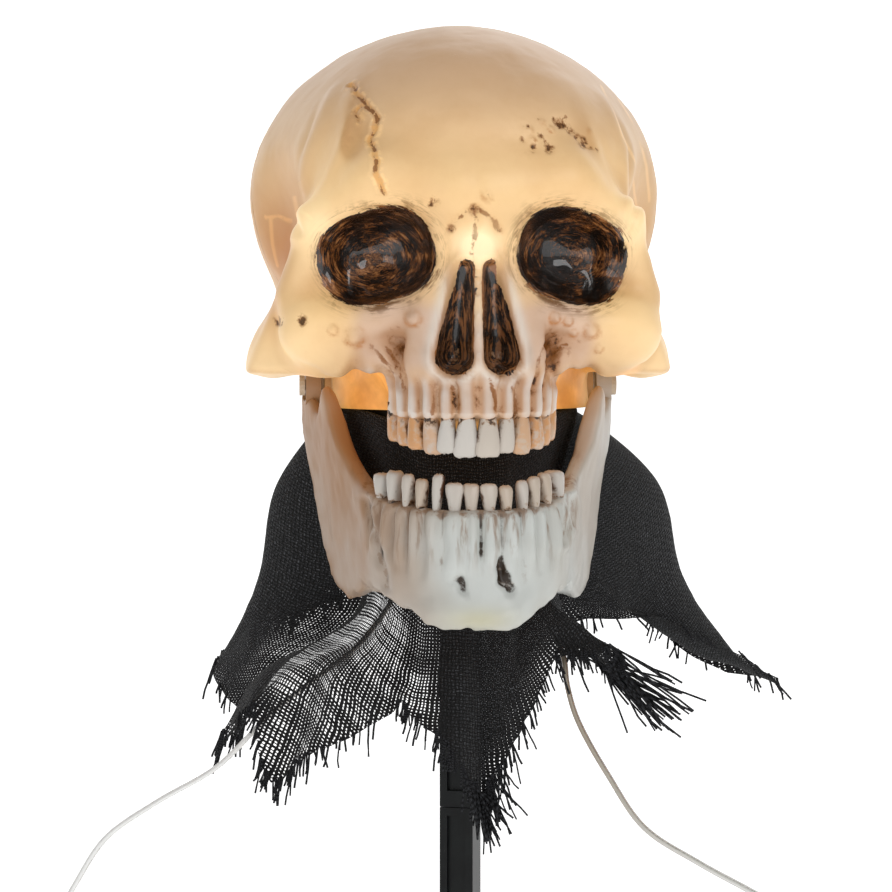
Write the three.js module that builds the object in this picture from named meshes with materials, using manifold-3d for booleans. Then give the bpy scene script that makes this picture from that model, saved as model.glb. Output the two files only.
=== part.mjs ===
// A lit skull on a ground stake: a hollow skull of two shells with a hinged jaw, a burlap shroud, a stake in
// two sections and two flat twin cords. Millimetres, +Z up. The origin lies on the stake's axis at ground
// level and the face looks along -Y.

import * as THREE from "three";
import { mergeVertices } from "three/addons/utils/BufferGeometryUtils.js";
import Module from "manifold-3d";

const kernel = await Module();
kernel.setup();
const { Manifold, Mesh: SolidMesh } = kernel;

// Gap between pieces that touch.
const FIT = 0.3;

// Stake, in two sections joined by a flat tongue.
const STAKE_SIDE = 12.6;
const STAKE_TURN = -18;
const SPIKE_DEPTH = 130;
const SPIKE_TIP = 34;
const SPIKE_POINT = 1.2;
const SPIKE_TOP = 71.5;
const TONGUE_WIDTH = 8;
const TONGUE_THICKNESS = 5;
const TONGUE_LENGTH = 24;
const PANEL_WIDTH = 7;
const PANEL_DEPTH = 2;
const PANEL_LIP = 3;

// Skull. Heights are above the skull's own datum, which stands this far above the ground.
const SKULL_HEIGHT = 210;
const WALL = 3;
const BASE_FLOOR = 10;
const BASE_CENTRE = 12;
const BASE_HALF_WIDTH = 50;
const BASE_HALF_DEPTH = 44;
const BASE_REAR_OF_TEETH = -29;
const CRANIUM_HALF_WIDTH = 77;
const CRANIUM_BACK = 113;
const CRANIUM_TOP = 152;
const FOREHEAD_FRONT = 70;
const CHEEK_LEFT = 77;
const CHEEK_RIGHT = 72;
const CHEEK_FLOOR = 23.5;
const GUM_EDGE = 9.5;
const GUM_STEP = 3.5;
const SEAM = 24;
const SURFACE_CELL = 4.6;
const SURFACE_TOLERANCE = 1;
const TRIM_TOLERANCE = 0.05;
const HOLLOW_CELL = 8;
const HOLLOW_TOLERANCE = 1.2;

// Base plate with its neck collar and the socket for the stake.
const PLATE_HALF_WIDTH = 40;
const PLATE_HALF_DEPTH = 38;
const PLATE_THICKNESS = 3;
const OPENING_HALF_WIDTH = 29;
const OPENING_HALF_DEPTH = 28;
const COLLAR_RADIUS = 25;
const COLLAR_WALL = 3;
const COLLAR_LENGTH = 16.5;
const LIP_HEIGHT = 2;
const LIP_REACH = 2.5;
const SOCKET_WALL = 2.2;
const SOCKET_DEPTH = 40;
const SCREW_RADIUS = 1.6;
const SCREW_LENGTH = 10;
const SCREW_HEAD_RADIUS = 3;
const SCREW_HEAD = 2;
const BOSS_RADIUS = 4.5;
const BOSS_HEIGHT = 7;

// Lamp.
const LAMP_BACK = 27;
const HOLDER_RADIUS = 8;
const HOLDER_HEIGHT = 26;
const HOLDER_FLANGE = 13;
const HOLDER_FLANGE_THICKNESS = 3;
const CAP_RADIUS = 5.9;
const CAP_LENGTH = 16;
const CAP_STANDS = 2;
const GLASS_RADIUS = 11;
const GLASS_LENGTH = 46;
const WIRE_RADIUS = 1.2;
const LAMP_SCREW_RADIUS = 1.2;
const LAMP_SCREW_HEAD = 2;

// Cord exits and cords.
const EXIT_SIDE = 16.5;
const RELIEF_RADIUS = 3.9;
const RELIEF_FLANGE = 5;
const RELIEF_TAIL = 24;
const CORD_WIDTH = 4.4;
const CORD_THICKNESS = 2.2;
const COIL_PITCH = 3.2;
const COIL_LAYER = 5.2;
const COIL_LIFT = 0.9;
const COIL_TAIL = 27;
const COIL_SIDE = 118;
const COIL_BACK = 62;
const LEAD_COIL_INNER = 19;
const LEAD_COIL_TURNS = 4.25;
const LINK_COIL_INNER = 23;
const LINK_COIL_TURNS = 1.25;
const TIE_WIDTH = 5;
const TIE_THICKNESS = 0.5;

// Jaw and its pivots.
const PIVOT_Y = 12;
const PIVOT_Z = 18;
const PIVOT_FACE = 50;
const PIN_RADIUS = 2;
const PIN_HEAD_RADIUS = 4;
const PIN_HEAD = 2;
const WASHER_RADIUS = 5;
const WASHER_THICKNESS = 0.7;
const LUG_RADIUS = 8;
const LUG_THICKNESS = 5.6;
const PIVOT_BOSS = 7.5;
const PIVOT_BOSS_DEPTH = 10;

// Shroud.
const CLOTH_THICKNESS = 1.2;
const CLOTH_COLUMNS = 72;
const SHROUD_NECK = 36;
const SHROUD_FREE = 82;
const SHROUD_HEM_FRONT = 54;
const SHROUD_HEM_SIDE = 22;
const SHROUD_HEM_BACK = 97;
const SHROUD_HEM_LEVEL = -94;
const SHROUD_TIE_HEIGHT = 3;
const SHROUD_TIE_THICKNESS = 1.8;

// Solids and shapes.

function solid(geometry) {
  const plain = new THREE.BufferGeometry();
  plain.setAttribute("position", geometry.attributes.position.clone());
  if (geometry.index) plain.setIndex(geometry.index.clone());
  const merged = mergeVertices(plain, 1e-4);
  return new Manifold(
    new SolidMesh({
      numProp: 3,
      vertProperties: new Float32Array(merged.attributes.position.array),
      triVerts: new Uint32Array(merged.index.array),
    }),
  );
}

function shape(body) {
  const mesh = body.asOriginal().getMesh();
  const geometry = new THREE.BufferGeometry();
  geometry.setAttribute("position", new THREE.BufferAttribute(mesh.vertProperties.slice(), 3));
  geometry.setIndex(new THREE.BufferAttribute(mesh.triVerts.slice(), 1));
  geometry.computeVertexNormals();
  return geometry;
}

function joined(...geometries) {
  return geometries.map((geometry) => solid(geometry)).reduce((whole, next) => whole.add(next));
}

function without(body, ...geometries) {
  return geometries.map((geometry) => solid(geometry)).reduce((whole, next) => whole.subtract(next), body);
}

function box(x, y, z, at) {
  return new THREE.BoxGeometry(x, y, z).translate(at[0], at[1], at[2]);
}

// A straight round post between two heights, about the vertical line through at.
function post(radius, from, to, at, sides = 24) {
  return new THREE.CylinderGeometry(radius, radius, to - from, sides)
    .rotateX(Math.PI / 2)
    .translate(at[0], at[1], (from + to) / 2);
}

// A straight round bar along X between two places.
function bar(radius, from, to, y, z, sides = 16) {
  return new THREE.CylinderGeometry(radius, radius, Math.abs(to - from), sides)
    .rotateZ(Math.PI / 2)
    .translate((from + to) / 2, y, z);
}

// A turned piece about the vertical line through at; its profile is given as radius and height.
function turned(profile, at, sides = 24) {
  const points = profile.map(([radius, height]) => new THREE.Vector2(radius, height));
  return new THREE.LatheGeometry(points, sides).rotateX(Math.PI / 2).translate(at[0], at[1], 0);
}

// Closed skin over rings of points, each ring given in the same turning direction.
function skinned(rings, closedLoop = false) {
  const size = rings[0].length;
  const places = rings.flat(2);
  const faces = [];
  const last = closedLoop ? rings.length : rings.length - 1;
  for (let i = 0; i < last; i++) {
    const here = i * size;
    const next = ((i + 1) % rings.length) * size;
    for (let j = 0; j < size; j++) {
      const k = (j + 1) % size;
      faces.push(here + j, next + j, next + k, here + j, next + k, here + k);
    }
  }
  if (!closedLoop) {
    const end = (rings.length - 1) * size;
    for (let j = 1; j < size - 1; j++) {
      faces.push(0, j, j + 1);
      faces.push(end, end + j + 1, end + j);
    }
  }
  const geometry = new THREE.BufferGeometry();
  geometry.setAttribute("position", new THREE.BufferAttribute(new Float32Array(places), 3));
  geometry.setIndex(faces);
  const body = solid(geometry);
  if (body.volume() < 0) geometry.setIndex(faces.toReversed());
  return geometry;
}

// Soft distance fields that describe the skull's surface.

function blob(p, at, radii) {
  const x = (p[0] - at[0]) / radii[0];
  const y = (p[1] - at[1]) / radii[1];
  const z = (p[2] - at[2]) / radii[2];
  const reach = Math.hypot(x, y, z);
  const slope = Math.hypot(x / radii[0], y / radii[1], z / radii[2]);
  return slope > 0 ? (reach * (reach - 1)) / slope : -Math.min(...radii);
}

function bone(p, from, to, startRadius, endRadius) {
  const along = [to[0] - from[0], to[1] - from[1], to[2] - from[2]];
  const off = [p[0] - from[0], p[1] - from[1], p[2] - from[2]];
  const square = along[0] ** 2 + along[1] ** 2 + along[2] ** 2;
  const share = (off[0] * along[0] + off[1] * along[1] + off[2] * along[2]) / square;
  const t = Math.min(1, Math.max(0, share));
  const gap = Math.hypot(off[0] - t * along[0], off[1] - t * along[1], off[2] - t * along[2]);
  return gap - startRadius - t * (endRadius - startRadius);
}

function blend(a, b, soft) {
  const overlap = Math.max(soft - Math.abs(a - b), 0) / soft;
  return Math.min(a, b) - (overlap * overlap * soft) / 4;
}

function carved(a, b, soft) {
  return -blend(-a, b, soft);
}

// The eye socket, an ellipsoid rolled so that its outer corner droops.
function socketField(m) {
  const roll = THREE.MathUtils.degToRad(16);
  const x = m[0] - 34.5;
  const z = m[2] - 65.3;
  const across = x * Math.cos(roll) - z * Math.sin(roll);
  const up = x * Math.sin(roll) + z * Math.cos(roll);
  const rolled = [across, m[1] + 71, up];
  return blob(rolled, [0, 0, 0], [20.5, 26, 16.5]);
}

// Half of the nose opening, a drop that widens downwards.
function noseField(m) {
  const pulled = [m[0], (m[1] + 84) * 0.42, m[2]];
  return bone(pulled, [4.6, 0, 58.5], [8.4, 0, 31.5], 2.6, 5.8);
}

// The hollow under the arch where the jaw's pivot sits.
function wellField(m) {
  return Math.max(Math.hypot(m[1] - PIVOT_Y, m[2] - PIVOT_Z) - PIVOT_BOSS - 4, PIVOT_FACE - 2 - m[0]);
}

// The cheek: a wedge with a flat lower edge, an outer edge that slopes to the tip and a slanted front.
function cheekField(m, cheek) {
  const outer = 0.926 * (m[0] - cheek + 9) + 0.38 * (m[2] - CHEEK_FLOOR - 29);
  const front = 0.6 * (m[0] - cheek + 22) - 0.8 * (m[1] + 52);
  const sides = [outer, front, m[1] + 8, 46 - m[0]];
  return sides.reduce((d, side) => carved(d, -side, 6), CHEEK_FLOOR - m[2]);
}

// The main masses: cranium, forehead, nape, base and the core of the face.
function massField(p) {
  const m = [Math.abs(p[0]), p[1], p[2]];
  const front = -FOREHEAD_FRONT;
  let d = blob(p, [0, CRANIUM_BACK - 80, CRANIUM_TOP - 64], [CRANIUM_HALF_WIDTH, 80, 64]);
  d = blend(d, blob(p, [0, front + 56, 88], [61, 56, 59]), 18);
  d = blend(d, blob(p, [0, CRANIUM_BACK - 61, 48], [60, 52, 42]), 20);
  const reach = Math.hypot(p[0] / BASE_HALF_WIDTH, (p[1] - BASE_CENTRE) / BASE_HALF_DEPTH);
  const plan = (reach - 1) * BASE_HALF_DEPTH;
  d = blend(d, carved(plan, 24 - Math.abs(p[2] - 30), 6), 10);
  d = carved(d, blob(m, [86, front + 50, 74], [28, 40, 36]), 10);
  return blend(d, blob(p, [0, -35, 48], [44, 38, 38]), 12);
}

function skullField(p) {
  const m = [Math.abs(p[0]), p[1], p[2]];
  const cheek = p[0] < 0 ? CHEEK_LEFT : CHEEK_RIGHT;
  const front = -FOREHEAD_FRONT;
  let d = massField(p);
  // Upper jaw and the ridges of the middle face.
  const recess = GUM_STEP * (1 - softStep(GUM_EDGE - 1.5, GUM_EDGE + 1.5, p[2]));
  const arch = (Math.hypot(p[0] / 29, (p[1] + 48) / 36) - 1) * 29 + recess;
  let jawBlock = carved(arch, 14 - Math.abs(p[2] - 14), 4);
  jawBlock = carved(jawBlock, BASE_REAR_OF_TEETH - p[1], 4);
  d = blend(d, jawBlock, 6);
  d = blend(d, bone(m, [0, -66, 80], [0, -80, 63], 8, 6), 6);
  d = blend(d, bone(m, [11, -70, 73], [17, -74, 31], 6.5, 8), 6);
  d = blend(d, bone(m, [0, -76, 60], [0, -78, 30], 6, 9), 5);
  d = blend(d, bone(m, [16, -70, 49], [46, -58, 41], 7, 8), 6);
  d = blend(d, bone(m, [46, -53, 36], [31, -61, 31], 8.5, 6), 6);
  // Brow, outer rim, cheek and arch.
  d = blend(d, blob(p, [0, front + 2, 88], [16, 9, 10]), 8);
  d = blend(d, blob(p, [0, front + 48, 100], [58, 50, 36]), 8);
  d = blend(d, bone(m, [8, front + 3.5, 87], [32, front + 6, 90], 7.5, 7.5), 16);
  d = blend(d, bone(m, [32, front + 6, 90], [53.5, -52, 76], 7.5, 7), 12);
  d = blend(d, bone(m, [53.5, -52, 76], [61, -46, 52], 7, 7), 6);
  d = blend(d, blob(m, [52, -38, 65], [9, 13, 18]), 6);
  d = blend(d, blob(m, [54, -51, 39], [14, 13, 13]), 8);
  d = blend(d, cheekField(m, cheek), 7);
  d = blend(d, bone(m, [cheek - 8, -22, 31], [59, 21, 36], 7, 8), 9);
  d = blend(d, bone(m, [52, -14, 36], [54, 12, 36], 8, 8), 8);
  d = carved(d, socketField(m), 5);
  d = carved(d, noseField(m), 3);
  d = carved(d, blob(m, [29, -84, 30], [9, 9, 10]), 6);
  return carved(d, wellField(m), 3);
}

// The hollow keeps a wall inside the main masses and behind the sockets, the nose and the pivots.
function hollowField(p) {
  const m = [Math.abs(p[0]), p[1], p[2]];
  let d = massField(p) + WALL;
  d = carved(d, socketField(m) - WALL, 3);
  d = carved(d, noseField(m) - WALL, 3);
  return carved(d, wellField(m) - WALL, 3);
}

// The surface where a field is zero. Space round the skull is divided into cells; each cell that the surface
// passes through gets one point, and the points of the four cells round a crossed edge make two triangles.
function surface(field, cell, tolerance) {
  const widest = Math.max(CRANIUM_HALF_WIDTH, CHEEK_LEFT, CHEEK_RIGHT) + 3 * SURFACE_CELL;
  const low = [-widest, -FOREHEAD_FRONT - 28, -4 * SURFACE_CELL];
  const high = [widest, CRANIUM_BACK + 3 * SURFACE_CELL, CRANIUM_TOP + 3 * SURFACE_CELL];
  const count = low.map((value, axis) => Math.ceil((high[axis] - value) / cell) + 1);
  const step = [1, count[0], count[0] * count[1]];
  const total = step[2] * count[2];
  const corner = (index) => {
    const layer = Math.floor(index / step[2]);
    return [index % count[0], Math.floor(index / step[1]) % count[1], layer];
  };
  const values = Float32Array.from({ length: total }, (_, index) =>
    field(corner(index).map((part, axis) => low[axis] + part * cell)),
  );
  const inside = (index) => values[index] < 0;
  const pointOf = new Int32Array(total).fill(-1);
  const places = [];
  for (let index = 0; index < total; index++) {
    const here = corner(index);
    if (here.some((part, axis) => part >= count[axis] - 1)) continue;
    const sum = [0, 0, 0];
    let crossings = 0;
    for (let axis = 0; axis < 3; axis++) {
      const [b, c] = [(axis + 1) % 3, (axis + 2) % 3];
      for (const [p, q] of [
        [0, 0],
        [1, 0],
        [0, 1],
        [1, 1],
      ]) {
        const start = index + p * step[b] + q * step[c];
        const end = start + step[axis];
        if (inside(start) === inside(end)) continue;
        const crossing = [0, 0, 0];
        crossing[axis] = values[start] / (values[start] - values[end]);
        crossing[b] = p;
        crossing[c] = q;
        crossing.forEach((part, k) => (sum[k] += part));
        crossings++;
      }
    }
    if (crossings === 0) continue;
    pointOf[index] = places.length / 3;
    places.push(...sum.map((part, axis) => low[axis] + (here[axis] + part / crossings) * cell));
  }
  const faces = [];
  for (let index = 0; index < total; index++) {
    const here = corner(index);
    for (let axis = 0; axis < 3; axis++) {
      const [b, c] = [(axis + 1) % 3, (axis + 2) % 3];
      if (here[axis] >= count[axis] - 1 || here[b] < 1 || here[c] < 1) continue;
      if (inside(index) === inside(index + step[axis])) continue;
      const around = [index - step[b] - step[c], index - step[c], index, index - step[b]];
      const ring = around.map((k) => pointOf[k]);
      if (!inside(index)) ring.reverse();
      faces.push(ring[0], ring[1], ring[2], ring[0], ring[2], ring[3]);
    }
  }
  const geometry = new THREE.BufferGeometry();
  geometry.setAttribute("position", new THREE.BufferAttribute(new Float32Array(places), 3));
  geometry.setIndex(faces);
  return solid(geometry).simplify(tolerance);
}

// A tooth: a tapering crown with a rounded biting edge, its root end at z = 0 and its edge at z = height.
function tooth(width, depth, height) {
  const profile = [
    [0, -3],
    [0.42, -3],
    [0.52, 0.62 * height],
    [0.4, 0.95 * height],
    [0, height],
  ];
  return turned(profile, [0, 0], 6).scale(width, depth, 1);
}

// Skull.

const outside = surface(skullField, SURFACE_CELL, SURFACE_TOLERANCE);
const hollow = surface(hollowField, HOLLOW_CELL, HOLLOW_TOLERANCE);
const BIG = 400;
const cavity = hollow.trimByPlane([0, 0, 1], BASE_FLOOR + WALL);
const baseBelow = box(BIG, BIG, BIG, [0, BASE_REAR_OF_TEETH + 2 + BIG / 2, BASE_FLOOR - BIG / 2]);
let shell = without(outside, baseBelow).subtract(cavity);

const plateTop = BASE_FLOOR - FIT;
const plateBottom = plateTop - PLATE_THICKNESS;
const ellipse = (halfWidth, halfDepth, from, to, sides = 32) =>
  post(1, from, to, [0, 0], sides).scale(halfWidth, halfDepth, 1).translate(0, BASE_CENTRE, 0);
const screwRing = 0.5;
const screwPlaces = [45, 135, 225, 315].map((turn) => {
  const angle = THREE.MathUtils.degToRad(turn);
  const across = OPENING_HALF_WIDTH + screwRing * (PLATE_HALF_WIDTH - OPENING_HALF_WIDTH);
  const along = OPENING_HALF_DEPTH + screwRing * (PLATE_HALF_DEPTH - OPENING_HALF_DEPTH);
  return [across * Math.cos(angle), BASE_CENTRE + along * Math.sin(angle)];
});

for (const place of screwPlaces)
  shell = shell.add(solid(post(BOSS_RADIUS, BASE_FLOOR + 1, BASE_FLOOR + WALL + BOSS_HEIGHT, place, 16)));
for (const side of [-1, 1]) {
  const inner = side * (PIVOT_FACE - PIVOT_BOSS_DEPTH);
  shell = shell.add(solid(bar(PIVOT_BOSS, inner, side * PIVOT_FACE, PIVOT_Y, PIVOT_Z)));
  const clear = bar(LUG_RADIUS + 1.5, side * PIVOT_FACE, side * (PIVOT_FACE + 14), PIVOT_Y, PIVOT_Z);
  const bore = bar(PIN_RADIUS + FIT, inner + side * 1.5, side * (PIVOT_FACE + 1), PIVOT_Y, PIVOT_Z);
  shell = without(shell, clear, bore);
}
const opening = ellipse(OPENING_HALF_WIDTH, OPENING_HALF_DEPTH, BASE_FLOOR - 1, BASE_FLOOR + WALL + 1);
shell = without(shell, opening);
for (const place of screwPlaces)
  shell = without(shell, post(SCREW_RADIUS + FIT, BASE_FLOOR - 1, BASE_FLOOR + SCREW_LENGTH, place, 12));

// Upper teeth stand round the front of the upper jaw, from the middle outwards.
const UPPER_TEETH = [
  [8.2, 5.5, 13.3],
  [6.2, 5, 12.6],
  [6.8, 6, 13],
  [6.4, 6.5, 12.4],
  [6.6, 7, 12],
  [8.6, 8, 11.6],
];
for (const side of [-1, 1]) {
  let run = 0;
  for (const [width, depth, height] of UPPER_TEETH) {
    const turn = (run + width / 2) / 31;
    run += width + 0.25;
    const place = [side * 26.6 * Math.sin(turn), -47 - 34 * Math.cos(turn), 9.5 + 2 * (1 - Math.cos(turn))];
    const crown = tooth(width, depth, height)
      .rotateX(Math.PI)
      .rotateZ(side * turn)
      .translate(place[0], place[1], place[2]);
    shell = shell.add(solid(crown));
  }
}

const face = shell.trimByPlane([0, -1, 0], -(SEAM - FIT / 2)).simplify(TRIM_TOLERANCE);
const cranium = shell.trimByPlane([0, 1, 0], SEAM + FIT / 2).simplify(TRIM_TOLERANCE);

// Base plate.

const stakeTurn = THREE.MathUtils.degToRad(STAKE_TURN);
const collarInner = COLLAR_RADIUS - COLLAR_WALL;
const collarBottom = plateBottom - COLLAR_LENGTH;
const collar = turned(
  [
    [collarInner, plateBottom + 1],
    [collarInner, collarBottom],
    [COLLAR_RADIUS + LIP_REACH, collarBottom],
    [COLLAR_RADIUS + LIP_REACH, collarBottom + LIP_HEIGHT],
    [COLLAR_RADIUS, collarBottom + LIP_HEIGHT],
    [COLLAR_RADIUS, plateBottom + 1],
    [collarInner, plateBottom + 1],
  ],
  [0, BASE_CENTRE],
  28,
);
const poleTop = BASE_FLOOR + SOCKET_DEPTH;
const bossSide = STAKE_SIDE + 2 * (FIT + SOCKET_WALL);
const bossTop = poleTop + FIT + SOCKET_WALL;
const bossLength = bossTop - collarBottom;
const bossAt = [0, 0, collarBottom + bossLength / 2];
const socketBoss = box(bossSide, bossSide, bossLength, bossAt).rotateZ(stakeTurn);
const boreSide = STAKE_SIDE + 2 * FIT;
const boreLength = poleTop + FIT - collarBottom + 1;
const boreAt = [0, 0, collarBottom - 1 + boreLength / 2];
const socketBore = box(boreSide, boreSide, boreLength, boreAt).rotateZ(stakeTurn);
let plate = joined(ellipse(PLATE_HALF_WIDTH, PLATE_HALF_DEPTH, plateBottom, plateTop), collar, socketBoss);
plate = without(plate, socketBore);
for (const place of screwPlaces)
  plate = without(plate, post(SCREW_RADIUS + FIT, plateBottom - 1, plateTop + 1, place, 12));
for (const side of [-1, 1]) {
  const exit = [side * EXIT_SIDE, BASE_CENTRE];
  plate = without(plate, post(RELIEF_RADIUS + FIT, plateBottom - 1, plateTop + 1, exit, 16));
  const lampScrew = [side * (HOLDER_RADIUS + HOLDER_FLANGE) * 0.5, LAMP_BACK];
  plate = without(plate, post(LAMP_SCREW_RADIUS + FIT, plateBottom - 1, plateTop + 1, lampScrew, 10));
}

const screwAt = (place) =>
  shape(
    joined(
      turned(
        [
          [0, plateBottom - FIT - SCREW_HEAD],
          [SCREW_HEAD_RADIUS - 0.6, plateBottom - FIT - SCREW_HEAD],
          [SCREW_HEAD_RADIUS, plateBottom - FIT - 0.8],
          [SCREW_HEAD_RADIUS, plateBottom - FIT],
          [SCREW_RADIUS, plateBottom - FIT],
          [SCREW_RADIUS, BASE_FLOOR + SCREW_LENGTH - 2.5],
          [0, BASE_FLOOR + SCREW_LENGTH - FIT],
        ],
        place,
        8,
      ),
    ),
  );

// Lamp.

const lampAt = [0, LAMP_BACK];
const holderBottom = plateTop + FIT;
const holderTop = holderBottom + HOLDER_HEIGHT;
const boreBottom = holderTop - CAP_LENGTH + CAP_STANDS - FIT;
let holder = joined(
  turned(
    [
      [0, holderBottom],
      [HOLDER_FLANGE, holderBottom],
      [HOLDER_FLANGE, holderBottom + HOLDER_FLANGE_THICKNESS],
      [HOLDER_RADIUS, holderBottom + HOLDER_FLANGE_THICKNESS],
      [HOLDER_RADIUS, holderTop],
      [CAP_RADIUS + FIT, holderTop],
      [CAP_RADIUS + FIT, boreBottom],
      [0, boreBottom],
    ],
    lampAt,
    24,
  ),
);
const lampScrewPlaces = [-1, 1].map((side) => [side * (HOLDER_RADIUS + HOLDER_FLANGE) * 0.5, LAMP_BACK]);
for (const place of lampScrewPlaces)
  holder = without(holder, post(LAMP_SCREW_RADIUS + FIT, holderBottom - 1, holderBottom + 5, place, 10));
const flangeTop = holderBottom + HOLDER_FLANGE_THICKNESS;
const lampScrewAt = (place) =>
  turned(
    [
      [0, plateBottom],
      [LAMP_SCREW_RADIUS, plateBottom],
      [LAMP_SCREW_RADIUS, flangeTop + FIT],
      [LAMP_SCREW_HEAD, flangeTop + FIT],
      [LAMP_SCREW_HEAD, flangeTop + FIT + 1],
      [0, flangeTop + FIT + 1.4],
    ],
    place,
    10,
  );
const capBottom = boreBottom + FIT;
const capTop = capBottom + CAP_LENGTH;
const cap = turned(
  [
    [0, capBottom],
    [2.4, capBottom],
    [2.4, capBottom + 1],
    [CAP_RADIUS - 0.8, capBottom + 2.5],
    [CAP_RADIUS, capBottom + 3.5],
    [CAP_RADIUS, capTop],
    [0, capTop],
  ],
  lampAt,
  20,
);
const glassBottom = capTop + FIT;
const glass = turned(
  [
    [0, glassBottom],
    [CAP_RADIUS - 0.6, glassBottom],
    [CAP_RADIUS, glassBottom + 0.1 * GLASS_LENGTH],
    [GLASS_RADIUS * 0.9, glassBottom + 0.28 * GLASS_LENGTH],
    [GLASS_RADIUS, glassBottom + 0.42 * GLASS_LENGTH],
    [GLASS_RADIUS * 0.86, glassBottom + 0.62 * GLASS_LENGTH],
    [GLASS_RADIUS * 0.5, glassBottom + 0.84 * GLASS_LENGTH],
    [GLASS_RADIUS * 0.18, glassBottom + 0.97 * GLASS_LENGTH],
    [0, glassBottom + GLASS_LENGTH],
  ],
  lampAt,
  20,
);

// Strain reliefs and the wires from them to the lamp.

const reliefTop = plateTop + FIT + 2.5;
const reliefEnd = plateBottom - RELIEF_TAIL;
const reliefAt = (side) =>
  turned(
    [
      [0, reliefEnd],
      [RELIEF_RADIUS - 0.9, reliefEnd],
      [RELIEF_RADIUS, plateBottom - FIT - 2.5],
      [RELIEF_FLANGE, plateBottom - FIT - 2.5],
      [RELIEF_FLANGE, plateBottom - FIT],
      [RELIEF_RADIUS, plateBottom - FIT],
      [RELIEF_RADIUS, plateTop + FIT],
      [RELIEF_FLANGE, plateTop + FIT],
      [RELIEF_FLANGE, reliefTop],
      [0, reliefTop],
    ],
    [side * EXIT_SIDE, BASE_CENTRE],
    16,
  );
const wireAt = (side) => {
  const enters = new THREE.Vector3(side * (HOLDER_RADIUS + FIT), LAMP_BACK, holderBottom + 13);
  const leaves = new THREE.Vector3(side * EXIT_SIDE, BASE_CENTRE, reliefTop + FIT);
  const path = new THREE.CatmullRomCurve3([
    leaves,
    leaves.clone().add(new THREE.Vector3(0, 0, 5)),
    new THREE.Vector3(side * (EXIT_SIDE + 1.5), BASE_CENTRE + 6, holderBottom + 12),
    enters.clone().add(new THREE.Vector3(side * 5, 0, 0)),
    enters,
  ]);
  const section = new THREE.Shape().absarc(0, 0, WIRE_RADIUS, 0, 2 * Math.PI, false);
  return new THREE.ExtrudeGeometry(section, {
    extrudePath: path,
    steps: 10,
    curveSegments: 4,
    bevelEnabled: false,
  });
};

// Jaw pivots.

const washerInner = PIVOT_FACE + FIT;
const lugInner = washerInner + WASHER_THICKNESS + FIT;
const lugOuter = lugInner + LUG_THICKNESS;
const washerAt = (side) => {
  const outer = washerInner + WASHER_THICKNESS;
  const disc = bar(WASHER_RADIUS, side * washerInner, side * outer, PIVOT_Y, PIVOT_Z);
  const hole = bar(PIN_RADIUS + FIT, side * (washerInner - 1), side * (outer + 1), PIVOT_Y, PIVOT_Z);
  return shape(without(joined(disc), hole));
};
const pinAt = (side) => {
  const head = lugOuter + FIT;
  const inner = PIVOT_FACE - PIVOT_BOSS_DEPTH + 1.5 + FIT;
  return shape(
    joined(
      bar(PIN_RADIUS, side * inner, side * (head + 0.5), PIVOT_Y, PIVOT_Z),
      bar(PIN_HEAD_RADIUS, side * head, side * (head + PIN_HEAD), PIVOT_Y, PIVOT_Z),
    ),
  );
};

// Jaw, drawn hanging open as it rests. Each station of the half jaw gives its middle line, the heights of
// its lower and upper edges, its thickness and how far it leans outwards with height.
const JAW_STATIONS = [
  [0, -69, -64.5, -23.5, 13, 0],
  [12, -68, -64, -23.5, 12.5, 0],
  [23, -60.5, -58, -22, 12, 0.02],
  [30.5, -48, -53.5, -19.5, 11.5, 0.05],
  [36.5, -34.5, -54, -14, 10.5, 0.1],
  [41, -24, -57, -2, 9.5, 0.13],
  [44.5, -14.5, -58.5, 17.5, 8.5, 0.13],
  [47.5, -4, -55, 8, 8, 0.13],
  [50, 6, -43, 13, 7.5, 0.13],
  [51.2, 13, -24, 16, 7, 0.13],
  [52, 18.5, -1, 14, 6.5, 0.13],
];
const JAW_LEAN_HEIGHT = -20;
const JAW_SECTION = [
  [0, 0],
  [0.42, 0.04],
  [0.5, 0.35],
  [0.42, 0.75],
  [0.3, 0.98],
  [-0.3, 0.98],
  [-0.45, 0.75],
  [-0.5, 0.35],
  [-0.38, 0.04],
];

function stationAt(run) {
  const side = run < 0 ? -1 : 1;
  const reach = Math.min(Math.abs(run), JAW_STATIONS.length - 1);
  const i = Math.min(Math.floor(reach), JAW_STATIONS.length - 2);
  const t = reach - i;
  const pick = (k) => {
    const mirror = JAW_STATIONS[Math.abs(k)].slice();
    if (k < 0) mirror[0] = -mirror[0];
    return mirror;
  };
  const [a, b, c] = [pick(i - 1), pick(i), pick(i + 1)];
  const d = i + 2 < JAW_STATIONS.length ? pick(i + 2) : c;
  const smooth = b.map((_, k) => {
    const slopeIn = (c[k] - a[k]) / 2;
    const slopeOut = (d[k] - b[k]) / 2;
    const rise = c[k] - b[k];
    const bend = 3 * rise - 2 * slopeIn - slopeOut;
    const twist = slopeIn + slopeOut - 2 * rise;
    return b[k] + t * (slopeIn + t * (bend + t * twist));
  });
  smooth[0] *= side;
  return smooth;
}

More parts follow.
